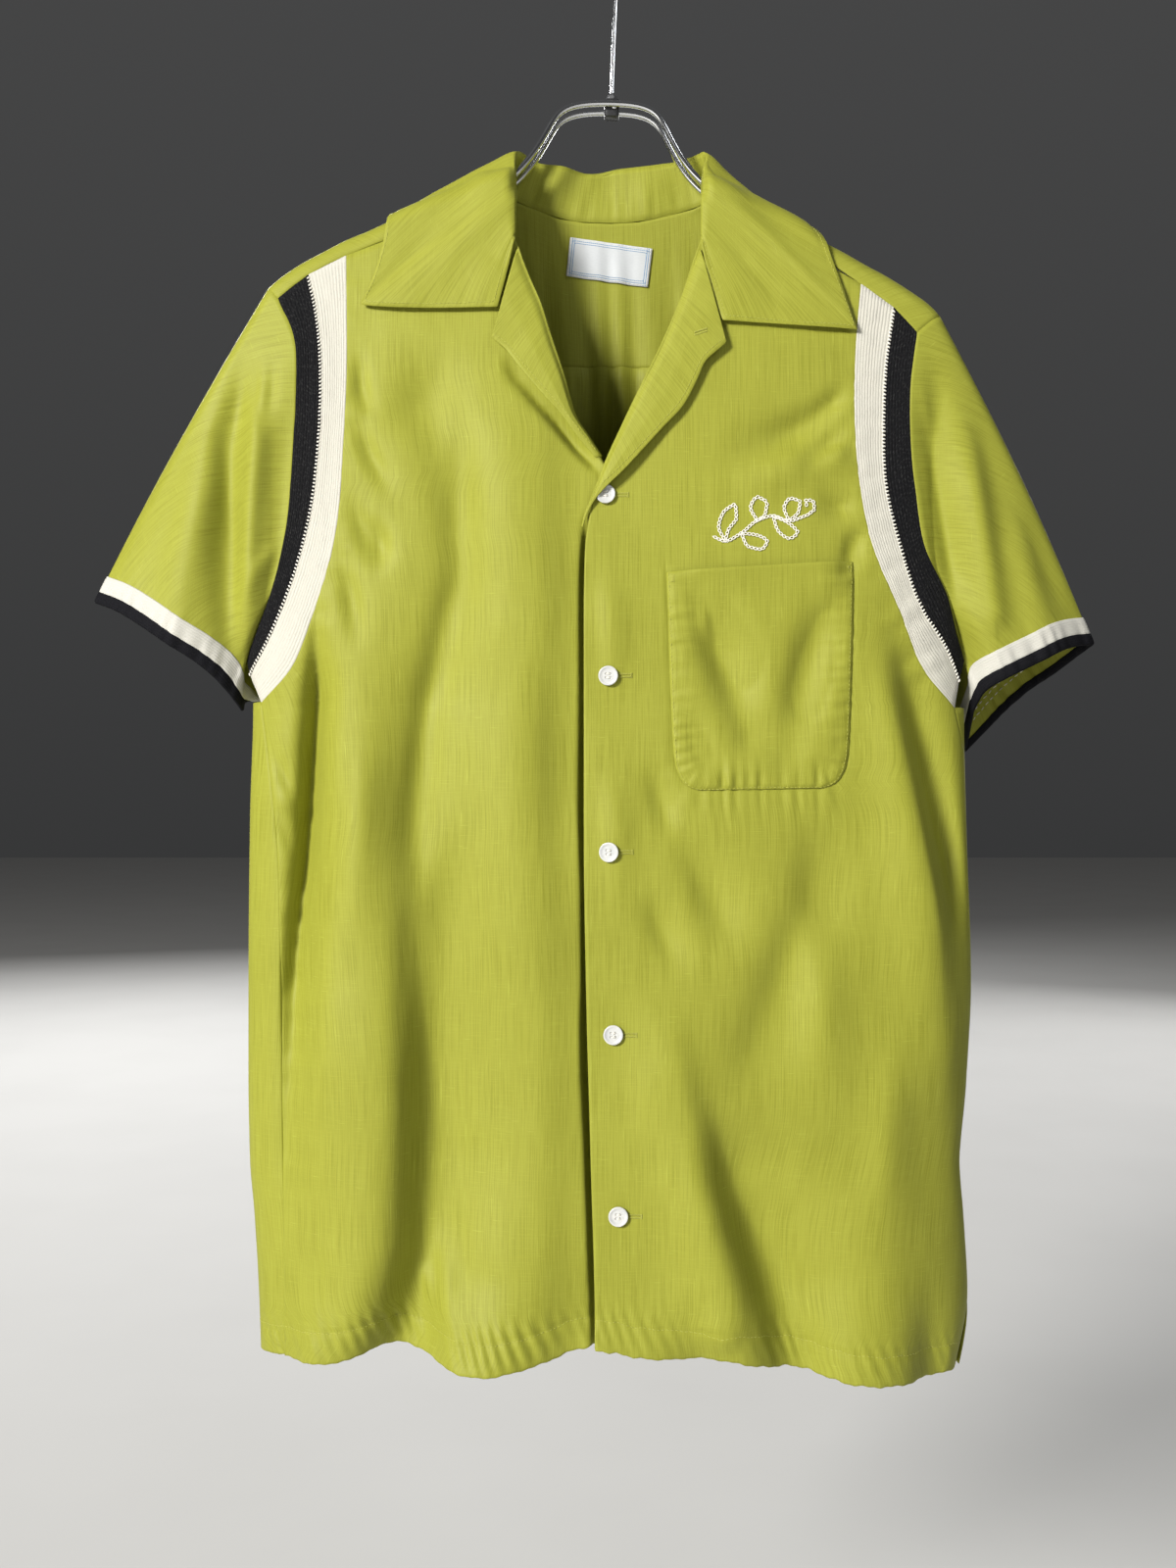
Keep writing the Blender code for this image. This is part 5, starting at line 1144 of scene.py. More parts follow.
# Soft shapes of the collar's leaf: section, share from roll to edge, height, spread over
# sections, spread over the share
COLLAR_DENTS = [
    (17.2, 0.45, -3.0, 0.7, 0.35), (18.8, 0.6, 2.2, 0.6, 0.4), (2.2, 0.5, 2.0, 0.6, 0.5),
    (4.4, 0.35, -1.8, 0.6, 0.3), (9.0, -0.6, 1.6, 0.5, 0.4), (10.6, -0.3, -1.4, 0.5, 0.5),
    (12.0, -0.6, 1.8, 0.5, 0.4), (13.6, -0.5, -2.0, 0.7, 0.5), (8.2, -0.5, -1.2, 0.4, 0.5),
    (20.4, 0.5, -1.2, 0.5, 0.3), (3.4, 0.75, -1.0, 0.4, 0.2), (6.4, 0.5, 1.6, 0.6, 0.5),
]
COLLAR_STEPS = 9  # columns from one section to the next
STAND_ROWS = 9
LEAF_ROWS = 34
EDGE_STITCH = 3.0  # from the edge of the collar or lapel


def collar_grid():
    """Grid of the collar: rows from neck seam over the roll to the leaf's edge."""
    at = np.linspace(0, len(COLLAR) - 1, (len(COLLAR) - 1) * COLLAR_STEPS + 1)
    lines = eased_rows(COLLAR, at)
    seam, roll, middle, edge = (lines[:, k:k + 3] for k in (0, 3, 6, 9))
    ahead = np.minimum(seam[:, 1], front_y(seam[:, 0], seam[:, 2]) - 2.3)
    seam[:, 1] += (ahead - seam[:, 1]) * ramp(-seam[:, 1], 2, 5)
    ahead = np.minimum(roll[:, 1], front_y(roll[:, 0], roll[:, 2]) - 4.2)
    roll[:, 1] += (ahead - roll[:, 1]) * ramp(-roll[:, 2], 198, 10)
    open_way = unit((edge - roll)[:, :2]) * ramp(roll[:, 1:2], -14, 10)
    shares = np.r_[np.linspace(-1, 0, STAND_ROWS)[:-1], np.linspace(0, 1, LEAF_ROWS) ** 1.15]
    rows = []
    for s in shares:
        if s < 0:
            p = seam + (roll - seam) * (s + 1)
            p[:, 1] += 1.0 * math.sin(math.pi * (s + 1) ** 2) * ramp(-roll[:, 1], 0, 10)
        else:
            pull = middle + (middle - (roll + edge) / 2) * 0.9
            p = (1 - s) ** 2 * roll + 2 * s * (1 - s) * pull + s * s * edge
            p[:, :2] += open_way * 2.0 * s / 0.06 * math.exp(1 - s / 0.06)
            clear = COLLAR_CLEAR + 1.6 * max(0.0, 1 - s / 0.4)
            p = p + (off_body(p, clear) - p) * min(1.0, s / 0.05)
        rows.append(p)
    grid = np.array(rows)
    out = collar_out(grid)
    across, down = np.meshgrid(at, shares)
    lift = 0.5 * crumple(grid[..., 0] * 1.3, grid[..., 2] * 1.3, 23.0)
    for section, share, height, wide, deep in COLLAR_DENTS:
        lift = lift + height * np.exp(-((across - section) / wide) ** 2 - ((down - share) / deep) ** 2)
    inset = edge_distance(grid, STAND_ROWS - 1)
    lift = lift - 0.6 * bell(inset - EDGE_STITCH, 0.8)
    lift = lift + pucker(np.abs(inset - EDGE_STITCH), lengths(edge)[None], 8.5, 3.5, 0.3, 6.0)
    up = np.clip(down + 1, 0, None) * 34
    lift = lift + np.where(down < 0, pucker(up, lengths(seam)[None], 9.0, 5.0, 0.7, 8.0), 0)
    fade = np.clip((inset + 0.2) / 1.2, 0.2, 1)
    return grid + out * (lift * fade)[..., None]


def collar_out(grid):
    """Normals of the collar's grid, turned to the leaf's outer side."""
    out = normals(grid)
    leaf = np.s_[-8:, :, 1]
    return -out if np.sum(out[leaf] * np.sign(grid[leaf])) < 0 else out


def side_distance(grid):
    """Distance of each point from the nearer end of its row."""
    left = lengths(grid, 1)
    return np.minimum(left, left[:, -1:] - left)


def edge_distance(grid, first):
    """Distance of each point from the last row and from the sides of rows at and after first."""
    near = np.minimum(lengths(grid[::-1])[::-1], side_distance(grid))
    near[:first] = np.maximum(near[:first], 12.0)
    return near


# Height of a lapel over the front: share of its width, share of the height at the roll
LAPEL_RISE = ((0, 0.5), (0.12, 1.15), (0.5, 1.4), (1, 1.35))
LAPEL_ROWS = 20


def lapel_grid(table):
    """Grid of a lapel: rows from under the roll, round it and out to the edge."""
    x0, z0, x1, z1, high = eased_rows(table, np.linspace(0, len(table) - 1, (len(table) - 1) * 8 + 1)).T
    inward = unit(np.stack([x0 - x1, z0 - z1], axis=-1))
    base = front_fine(x0, z0)
    radius = 0.25 * high
    rows = []
    for turn in np.radians([-90, -60, -30, 0, 30, 60]):
        reach = radius * math.cos(turn)
        lift = radius * (1 + math.sin(turn))
        rows.append(np.stack([x0 + inward[:, 0] * reach, base - lift, z0 + inward[:, 1] * reach], axis=-1))
    for s in np.linspace(0, 1, LAPEL_ROWS):
        rise = float(np.interp(s, column(LAPEL_RISE, 0), column(LAPEL_RISE, 1)))
        x = x0 + (x1 - x0) * s
        z = z0 + (z1 - z0) * s
        y = front_y(x, z) - high * rise - 0.45 * crumple(x * 1.4, z * 1.4, 31.0)
        rows.append(np.stack([x, y, z], axis=-1))
    return np.array(rows)


# Folds of the pocket: x, z, height, width toward -X, width toward +X
POCKET_FOLDS = [
    [(40, -447, -1, 8, 10), (64, -472, -3, 10, 14), (79, -503, -3, 10, 16), (84, -535, 0, 10, 16)],
    [(147, -449, 0, 10, 8), (137, -486, -3, 14, 8), (125, -521, -3, 14, 9), (119, -548, 0, 12, 9)],
    [(90, -470, 0, 14, 14), (99, -530, 0.7, 16, 14), (102, -570, 0, 12, 12)],
    [(42, -520, 0, 6, 9), (54, -556, -1.8, 7, 9), (66, -576, 0, 8, 9)],
    [(120, -560, 0, 9, 9), (134, -570, -1.4, 8, 8), (142, -574, 0, 6, 6)],
    [(58, -452, 0, 5, 6), (58, -474, 1.6, 5, 6), (62, -496, 0, 5, 6)],
]
POCKET_COLS = 64
POCKET_ROWS = 76


def pocket_flat(shares, cols):
    """x and z of the pocket: rows at shares of its depth, columns from -X to +X."""
    top, low = np.array(POCKET_TOP), np.array(POCKET_LOW)
    rows = []
    for s, w in zip(shares, from_table(POCKET, shares)):
        left, right = top + (low - top) * s
        rows.append((left + right) / 2 + (right - left) / 2 * w * np.linspace(-1, 1, cols + 1)[:, None])
    return np.array(rows)


POCKET_COARSE = pocket_flat(column(POCKET, 0), 4)
# The pocket's sewn outline: down the -X side, round the bottom and up the +X side
POCKET_LINE = np.concatenate([POCKET_COARSE[:, 0], POCKET_COARSE[-1, 1:-1], POCKET_COARSE[::-1, -1]])


def pocket_grid():
    """Grid of the pocket: rows from the mouth down, columns from -X to +X."""
    flat = pocket_flat(1 - (1 - np.linspace(0, 1, POCKET_ROWS)) ** 1.25, POCKET_COLS)
    x, z = flat[..., 0], flat[..., 1]
    sewn_edge = np.minimum(np.linalg.norm(flat - flat[-1:], axis=-1), side_distance(flat))
    off = ramp(sewn_edge, 0, 12)
    lift = 1.4 * folds(POCKET_FOLDS, x, z) * off + 0.9 * crumple(x, z, 41.0) * off
    away, arc = nearest(x, z, POCKET_LINE)
    lift = lift + pucker(away, arc, 8.5, 4.5, 0.8, 1.9)
    lift = lift - 0.2 * bell(sewn_edge - POCKET_SIDE, 0.8)
    belly = 2.4 * np.exp((z - z[:1]) / 14) * ramp(sewn_edge, 0, 20) + 1.6 * off
    y = front_fine(x, z) - 1.2 - np.maximum(lift + belly, -0.1)
    return np.stack([x, y, z], axis=-1)


def label_grid():
    """Grid of the neck label, raised a little inside its sewn edges."""
    rows, cols = 22, 45
    corners = np.array(LABEL)
    flat = []
    for v in np.linspace(0, 1, rows):
        start = corners[0] + (corners[3] - corners[0]) * v
        end = corners[1] + (corners[2] - corners[1]) * v
        flat.append(start + (end - start) * np.linspace(0, 1, cols)[:, None])
    x, z = np.array(flat).transpose(2, 0, 1)
    across = np.minimum(np.arange(cols), cols - 1 - np.arange(cols)) / 2
    down = np.minimum(np.arange(rows), rows - 1 - np.arange(rows))
    edge = np.minimum(across[None], down[:, None])
    return np.stack([x, back_fine(x, z) - 1.5 - 0.5 * ramp(edge, 0, 3), z], axis=-1)


# Materials


class Look:
    """A Principled material whose colour and relief come from a few noise nodes."""

    def __init__(self, name, colour, rough, **sockets):
        self.made = bpy.data.materials.new(name)
        self.made.use_nodes = True
        self.tree = self.made.node_tree
        self.shader = self.tree.nodes["Principled BSDF"]
        self.colour = self.rgb(colour)
        self.shader.inputs["Roughness"].default_value = rough
        for socket, value in sockets.items():
            self.shader.inputs[socket.replace("_", " ")].default_value = value
        self.flat = self.node("ShaderNodeAttribute")
        self.flat.attribute_name = "flat"
        self.vector = self.flat.outputs["Vector"]
        self.height = None

    def node(self, kind, **values):
        made = self.tree.nodes.new(kind)
        for key, value in values.items():
            setattr(made, key, value)
        return made

    def link(self, a, b):
        self.tree.links.new(a, b)

    def rgb(self, colour):
        made = self.node("ShaderNodeRGB")
        made.outputs[0].default_value = (*colour, 1)
        return made.outputs[0]

    def by_place(self):
        """Takes the object's own coordinates in place of the cloth's."""
        self.vector = self.node("ShaderNodeTexCoord").outputs["Object"]

    def math(self, kind, a, b=0.0, c=0.0):
        made = self.node("ShaderNodeMath", operation=kind)
        for socket, value in zip(made.inputs, (a, b, c)):
            if isinstance(value, (int, float)):
                socket.default_value = value
            else:
                self.link(value, socket)
        return made.outputs[0]

    def noise(self, across, down, detail=2.0, third=1.0, rough=0.5):
        """Noise with so many cells a metre across and down."""
        scale = self.node("ShaderNodeVectorMath", operation="MULTIPLY")
        self.link(self.vector, scale.inputs[0])
        scale.inputs[1].default_value = (across, down, third)
        made = self.node("ShaderNodeTexNoise")
        made.inputs["Scale"].default_value = 1
        made.inputs["Detail"].default_value = detail
        made.inputs["Roughness"].default_value = rough
        self.link(scale.outputs[0], made.inputs["Vector"])
        return made.outputs["Fac"]

    def span(self, value, low, high, out_low=0.0, out_high=1.0):
        made = self.node("ShaderNodeMapRange", clamp=True)
        for k, v in enumerate((low, high, out_low, out_high), 1):
            made.inputs[k].default_value = v
        self.link(value, made.inputs[0])
        return made.outputs[0]

    def wave(self, axis, pitch):
        """A rib every pitch metres along one axis of the cloth, from 0 to 1."""
        split = self.node("ShaderNodeSeparateXYZ")
        self.link(self.vector, split.inputs[0])
        turn = self.math("MULTIPLY", split.outputs[axis], 2 * math.pi / pitch)
        return self.math("MULTIPLY_ADD", self.math("SINE", turn), 0.5, 0.5)

    def tint(self, value, low, high, share, colour):
        """Mixes in up to a share of a colour where the value rises from low to high."""
        part = self.span(value, low, high, 0.0, share)
        made = self.node("ShaderNodeMix", data_type="RGBA")
        self.link(part, made.inputs[0])
        self.link(self.colour, made.inputs[6])
        made.inputs[7].default_value = (*colour, 1)
        self.colour = made.outputs[2]

    def raise_by(self, value, height):
        """Adds to the relief: value from 0 to 1, height in metres."""
        part = self.math("MULTIPLY", value, height)
        self.height = part if self.height is None else self.math("ADD", self.height, part)

    def rough_by(self, value, low, high):
        self.link(self.span(value, 0.3, 0.7, low, high), self.shader.inputs["Roughness"])

    def done(self):
        self.link(self.colour, self.shader.inputs["Base Color"])
        if self.height is not None:
            bump = self.node("ShaderNodeBump")
            bump.inputs["Strength"].default_value = 1
            bump.inputs["Distance"].default_value = 1
            self.link(self.height, bump.inputs["Height"])
            self.link(bump.outputs[0], self.shader.inputs["Normal"])
        return self.made


def lime_look(name="lime_cloth", shade=1.0):
    """Broadcloth: pale and dark threads of uneven thickness both ways, slubs in the weft."""
    base = [c * shade for c in (0.33, 0.338, 0.038)]
    look = Look(name, base, 0.6, Sheen_Weight=0.05, Sheen_Roughness=0.4, Specular_IOR_Level=0.25)
    look.shader.inputs["Sheen Tint"].default_value = (0.95, 1.0, 0.6, 1)
    dark = [c * shade for c in (0.235, 0.24, 0.018)]
    pale = [c * shade for c in (0.43, 0.445, 0.065)]
    warp = look.noise(1400, 24, 2, 1, 0.55)
    weft = look.noise(60, 1600, 2, 1, 0.55)
    broad = look.noise(11, 8, 3)
    slub = look.noise(95, 1150, 1, 1, 0.3)
    slub_up = look.noise(1000, 46, 1, 1, 0.3)
    look.tint(warp, 0.44, 0.68, 0.7, dark)
    look.tint(weft, 0.5, 0.72, 0.2, pale)
    look.tint(slub, 0.7, 0.8, 0.5, pale)
    look.tint(slub_up, 0.68, 0.78, 0.5, pale)
    look.tint(broad, 0.4, 0.75, 0.2, dark)
    look.raise_by(look.math("MULTIPLY", look.wave(0, 0.00046), look.wave(1, 0.00052)), 0.00002)
    look.raise_by(look.span(weft, 0.3, 0.7), 0.00002)
    look.raise_by(look.span(warp, 0.3, 0.7), 0.00003)
    look.raise_by(look.span(slub, 0.66, 0.8), 0.00005)
    look.rough_by(broad, 0.52, 0.66)
    return look.done()


def knit_look(name, colour, speck, speck_share, sheen, shine, rib):
    """Rib knit: ribs down the band with fuzz and lighter or darker flecks."""
    look = Look(name, colour, 0.85, Sheen_Weight=sheen, Sheen_Roughness=0.5, Specular_IOR_Level=shine)
    fuzz = look.noise(1600, 1600, 2)
    fleck = look.noise(900, 700, 2)
    look.tint(fleck, 0.52, 0.74, speck_share, speck)
    look.raise_by(look.wave(0, RIB * MM), rib)
    look.raise_by(look.wave(1, 0.0011), 0.00006)
    look.raise_by(fuzz, 0.00008)
    look.rough_by(fuzz, 0.78, 0.95)
    return look.done()


def tape_look(name, colour, other, sheen, shine):
    look = Look(name, colour, 0.75, Sheen_Weight=sheen, Specular_IOR_Level=shine)
    fuzz = look.noise(1300, 900, 2)
    look.tint(fuzz, 0.45, 0.75, 0.4, other)
    look.raise_by(look.wave(1, 0.0016), 0.00010)
    look.raise_by(fuzz, 0.00005)
    look.rough_by(fuzz, 0.68, 0.85)
    return look.done()


def thread_look(name, colour, other):
    look = Look(name, colour, 0.6, Sheen_Weight=0.15, Specular_IOR_Level=0.35)
    look.by_place()
    twist = look.noise(2600, 2600, 1, 2600)
    look.tint(twist, 0.45, 0.75, 0.35, other)
    look.rough_by(twist, 0.52, 0.7)
    return look.done()


def pearl_look():
    look = Look("pearl_button", (0.66, 0.66, 0.63), 0.28, Coat_Weight=0.6, Coat_Roughness=0.08,
                Specular_IOR_Level=0.6)
    look.by_place()
    swirl = look.noise(130, 160, 3, 90)
    band = look.noise(60, 260, 2, 200)
    look.tint(swirl, 0.4, 0.7, 0.6, (0.46, 0.49, 0.51))
    look.tint(band, 0.5, 0.75, 0.4, (0.82, 0.79, 0.75))
    look.rough_by(swirl, 0.2, 0.34)
    return look.done()


def label_look():
    look = Look("label_cloth", (0.64, 0.66, 0.67), 0.5, Sheen_Weight=0.3, Specular_IOR_Level=0.4)
    weave = look.noise(300, 2600, 2)
    look.tint(weave, 0.4, 0.7, 0.35, (0.52, 0.55, 0.57))
    look.raise_by(look.wave(1, 0.0004), 0.00002)
    look.raise_by(weave, 0.00003)
    look.rough_by(weave, 0.42, 0.6)
    return look.done()


def metal_look(name, colour, metal, low, high, coat=0.0):
    look = Look(name, colour, low, Metallic=metal, Coat_Weight=coat, Coat_Roughness=0.1)
    look.by_place()
    mark = look.noise(30, 30, 2, 60)
    look.tint(mark, 0.45, 0.75, 0.12, [c * 0.7 for c in colour])
    look.rough_by(mark, low, high)
    return look.done()


def floor_look():
    look = Look("studio_floor", (0.56, 0.555, 0.54), 0.8)
    look.by_place()
    spot = look.noise(3, 3, 3, 3)
    look.tint(spot, 0.4, 0.7, 0.4, (0.52, 0.515, 0.50))
    return look.done()


LIME = lime_look()
WHITE_KNIT = knit_look("white_knit", (0.60, 0.58, 0.50), (0.47, 0.45, 0.38), 0.6, 0.15, 0.2, 0.00005)
BLACK_KNIT = knit_look("black_knit", (0.009, 0.009, 0.010), (0.06, 0.06, 0.058), 0.55, 0.02, 0.06, 0.00012)
WHITE_TAPE = tape_look("white_tape", (0.60, 0.585, 0.52), (0.48, 0.46, 0.40), 0.2, 0.3)
BLACK_TAPE = tape_look("black_tape", (0.008, 0.008, 0.010), (0.024, 0.024, 0.026), 0.0, 0.06)
LIME_THREAD = thread_look("lime_thread", (0.44, 0.445, 0.07), (0.34, 0.34, 0.05))
WHITE_THREAD = thread_look("white_thread", (0.84, 0.81, 0.72), (0.66, 0.62, 0.54))
PEARL = pearl_look()
LABEL_CLOTH = label_look()
BLUE_THREAD = thread_look("label_thread", (0.13, 0.30, 0.52), (0.10, 0.24, 0.44))
CHROME = metal_look("chrome", (0.82, 0.83, 0.85), 1.0, 0.10, 0.14)
DARK_CLIP = metal_look("dark_clip", (0.03, 0.03, 0.032), 0.3, 0.35, 0.5, 0.3)
FLOOR = floor_look()


# Lines that run on a piece


def at_depth(grid, depth, from_end=False):
    """The point of each column that lies so far down from the first or up from the last row."""
    g = grid[::-1] if from_end else grid
    far = lengths(g)
    return np.array([point_at(depth, far[:, c], g[:, c]) for c in range(g.shape[1])])


def inset_path(grid, inset, first=0, sides=True):
    """Down one side, along the last row and up the other side of a grid, inset from its edge."""
    part = grid[first:]
    low = at_depth(part, inset, True)
    wide = lengths(part, 1)[-1]
    low = low[(wide > inset) & (wide[-1] - wide > inset)]
    if not sides:
        return low
    across = part.transpose(1, 0, 2)
    to_end = lengths(part[::-1])[::-1]
    left = at_depth(across, inset)[to_end[:, 0] > inset]
    right = at_depth(across, inset, True)[to_end[:, -1] > inset]
    return np.concatenate([left, low, right[::-1]])


def at_nearest(values, grid, path):
    """The values that a grid holds at its points nearest to a path."""
    values, spots = values.reshape(-1, 3), grid.reshape(-1, 3)
    return np.array([values[np.argmin(np.sum((spots - p) ** 2, axis=1))] for p in path])


def facing_normals(grid, path, facing):
    """Normals of a grid, turned to face one way, at the points of the grid nearest to a path."""
    out = normals(grid)
    return at_nearest(-out if np.sum(out * np.array(facing, float)) < 0 else out, grid, path)


def front_normals(x, z, reach):
    """Normals of the fronts, from their slopes over a reach on each side."""
    slope_x = (front_fine(x + reach, z) - front_fine(x - reach, z)) / (2 * reach)
    slope_z = (front_fine(x, z + reach) - front_fine(x, z - reach)) / (2 * reach)
    return unit(np.stack([slope_x, -np.ones_like(slope_x), slope_z], axis=-1))


def topstitch(line, out, pitch=2.6, length=2.0):
    """Stitches along a line in the middle of the cloth, raised to its outer face."""
    return stitch_row(line + out * CLOTH / 2, out, pitch, length, 0.2)


def sewn(name, grid, look, slot, facing, held="hung", rests_on=("hanger_frame",), **more):
    """A piece of cloth that takes the place of the solid of that name."""
    item = cloth(name + "_cloth", grid, look, slot, facing, **more)
    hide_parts(name)


# Body


def straight_grain(grid):
    """The weave of a body panel: its rows level, its columns upright."""
    across = np.hypot(np.diff(grid[..., 0], axis=1), np.diff(grid[..., 1], axis=1))
    u = np.concatenate([np.zeros((len(grid), 1)), np.cumsum(across, axis=1)], axis=1)
    near = np.argmin(np.abs(grid[..., 0]), axis=1)
    rows = np.arange(len(grid))
    way = np.sign(grid[:, -1, 0] - grid[:, 0, 0])
    u = (u - u[rows, near][:, None]) * way[:, None] + grid[rows, near, 0][:, None]
    return np.stack([u, grid[..., 2], np.zeros_like(u)], axis=-1)


# How far the lower front falls back behind the upper one: z, depth
GAPE = [(-960, 3), (-900, 5), (-843, 3), (-790, 6.5), (-732, 3.5), (-690, 7), (-620, 2), (-570, 5.5),
        (-511, 1.5), (-455, 3), (-410, 0)]
# How it drops away just before the upper one's edge: z, depth, width of the drop
CLIFF = [(-412, 0, 2), (-425, 4, 2.2), (-470, 6, 2), (-520, 6, 1.6), (-560, 7, 2.4), (-600, 8, 2.6),
         (-640, 7, 1.2), (-700, 8, 1.6), (-732, 9, 3.6), (-760, 9, 4), (-790, 8, 3), (-843, 7, 2.4),
         (-880, 7, 2.2), (-900, 6, 1.4), (-945, 4, 1)]
right = front_points(front_panel(RIGHT_EDGE, right_side, RIGHT_INSERT))
left = front_points(front_panel(LEFT_EDGE, left_side, LEFT_INSERT))
x, z = right[..., 0], right[..., 2]
gape = from_table(GAPE, z.ravel()).reshape(z.shape)
slack = ramp(x, -66, 60) ** 2.2
right[..., 1] += 2.6 * smooth(ramp(x, -48, 24)) + 1.1 * gape * slack
cliff_z, cliff_deep, cliff_wide = np.array(CLIFF, float).T
reach = np.interp(-z, -cliff_z, cliff_wide)
over = ramp(x - by_z(LEFT_EDGE, z) + reach, -2, reach + 1)
right[..., 1] += np.interp(-z, -cliff_z, cliff_deep) * smooth(over)
x, z = left[..., 0], left[..., 2]
lip = np.exp(-np.abs(x - by_z(LEFT_EDGE, z)) / 7) * ramp(-z, 425, 20)
left[..., 1] -= lip * (0.5 + 0.6 * frac_noise(z / 16, 0.5, 6.0))
yoke = yoke_panel()
back = back_panel()
sewn("front_right", right, LIME, "lime_cloth", FRONTWARD, grain=straight_grain(right))
sewn("front_left", left, LIME, "lime_cloth", FRONTWARD, grain=straight_grain(left))
sewn("back", back, LIME, "lime_cloth", BACKWARD, grain=straight_grain(back))
sewn("yoke", yoke, LIME, "lime_cloth", (0, 0, 1))

RIB_STEPS = 6  # columns to a rib


def insert_band(a, b, rise, seed):
    """A knit band between two lines: each rib of stitches runs along it."""
    wide = float(np.max(np.linalg.norm(b - a, axis=1)))
    cols = max(6, int(round(wide / RIB)) * RIB_STEPS)
    u = np.linspace(0, 1, cols + 1)
    grid = front_points(a[:, None] + (b - a)[:, None] * u[None, :, None])
    ribs = np.abs(np.sin(u * wide / RIB * math.pi))[None]
    grid[..., 1] -= rise * ribs + 0.2 * frac_noise(u[None] * 3, lengths(grid) / 9.0, seed)
    return grid


bands = {}
for side, table in (("right", RIGHT_INSERT), ("left", LEFT_INSERT)):
    inner, middle, outer = bands[side] = [along(line, ARM_SHARES) for line in insert_lines(table)]
    white, black = insert_band(inner, middle, 0.28, 3.0), insert_band(middle, outer, 0.4, 9.0)
    on_front = ("front_" + side,)
    sewn("insert_white_" + side, white, WHITE_KNIT, "white_knit", FRONTWARD, rests_on=on_front)
    sewn("insert_black_" + side, black, BLACK_KNIT, "black_knit", FRONTWARD, rests_on=on_front)

# Sleeves and their trim

# Sections of the bands: distance from the hem, height over the sleeve's cloth
WHITE_STATIONS = [(18.2, 0.45), (17.7, 0.8), (16, 0.95), (14, 1.0), (12, 1.0), (10, 1.0), (8.4, 0.95),
                  (7.4, 0.85), (6.9, 0.6)]
BLACK_STATIONS = [(7.1, 0.7), (6.6, 1.05), (5.5, 1.15), (4, 1.15), (2.5, 1.15), (1, 1.05), (0.2, 0.75),
                  (-0.35, 0), (0.2, -0.75), (1, -1.05), (2.5, -1.1), (4, -1.1), (4.6, -0.9)]
sleeves = {}
for side, table, end, arm_line, hem in (
    ("right", RIGHT_INSERT, yoke[:, 0], RIGHT_BACK_ARM, RIGHT_SLEEVE_HEM),
    ("left", LEFT_INSERT, yoke[:, -1], LEFT_BACK_ARM, LEFT_SLEEVE_HEM),
):
    arm = along(arm_line, ARM_SHARES)
    arm[-1, 1] = yoke_seam_z(arm[-1, 0])
    sleeve = sleeves[side] = Sleeve(insert_lines(table)[2], end, arm, hem)
    sewn("sleeve_" + side, sleeve.grid(), LIME, "lime_cloth", None, closed=True, rests_on=("yoke",))
    for name, stations, look, slot in (
        ("cuff_white_", WHITE_STATIONS, WHITE_TAPE, "white_tape"),
        ("cuff_black_", BLACK_STATIONS, BLACK_TAPE, "black_tape"),
    ):
        sewn(name + side, sleeve.layer(stations), look, slot, None, closed=True, thick=0.7,
             rests_on=("sleeve_" + side,))

# Collar, lapels, pocket and label


def upright_grain(grid, row):
    """A weave whose upright threads follow the columns and are spaced as in one row."""
    u = np.broadcast_to(lengths(grid[row]), grid.shape[:2])
    return np.stack([u, lengths(grid), np.zeros_like(u)], axis=-1)


collar = collar_grid()
sewn("collar", collar, LIME, "lime_cloth", None, gap=0, rests_on=("yoke",),
     grain=upright_grain(collar, 24))
lapels = [lapel_grid(RIGHT_LAPEL), lapel_grid(LEFT_LAPEL)]
sewn("lapel_right", lapels[0], LIME, "lime_cloth", FRONTWARD, "folded", ("front_right",), gap=0)
sewn("lapel_left", lapels[1], LIME, "lime_cloth", FRONTWARD, "folded", ("front_left",), gap=0)
pocket = pocket_grid()
sewn("pocket", pocket, LIME, "lime_cloth", FRONTWARD, "laid", ("front_left",), gap=0)
label = label_grid()
sewn("neck_label", label, LABEL_CLOTH, "label_cloth", FRONTWARD, "laid", ("back",), gap=0, thick=0.4)

# Stitches of the hem, collar, lapels and pocket

runs = []
for panel, facing in ((right, FRONTWARD), (left, FRONTWARD), (back, BACKWARD)):
    line = at_depth(panel, HEM_STITCH)
    runs += topstitch(line, facing_normals(panel[:30], line, facing), 2.9, 2.2)
stitches("hem_stitches", runs, LIME_THREAD)

line = inset_path(collar, EDGE_STITCH, STAND_ROWS)
runs = topstitch(line, at_nearest(collar_out(collar), collar, line))
for lapel in lapels:
    line = inset_path(lapel, EDGE_STITCH, 10, sides=False)
    runs += topstitch(line, facing_normals(lapel, line, FRONTWARD))
stitches("collar_stitches", runs, LIME_THREAD)

line = inset_path(pocket, POCKET_SIDE)
runs = topstitch(line, facing_normals(pocket, line, FRONTWARD))
for x, y, z in pocket[1, [2, -3]]:
    for k in range(7):
        p = np.array([x, y - CLOTH / 2 - 0.1, z - 0.6 - k * 0.55])
        runs.append((p - (1.3, 0, 0), p + (1.3, 0, 0), FRONTWARD, 0.3, 0.12))
stitches("pocket_stitches", runs, LIME_THREAD)

# White picot along the seam between the knit bands

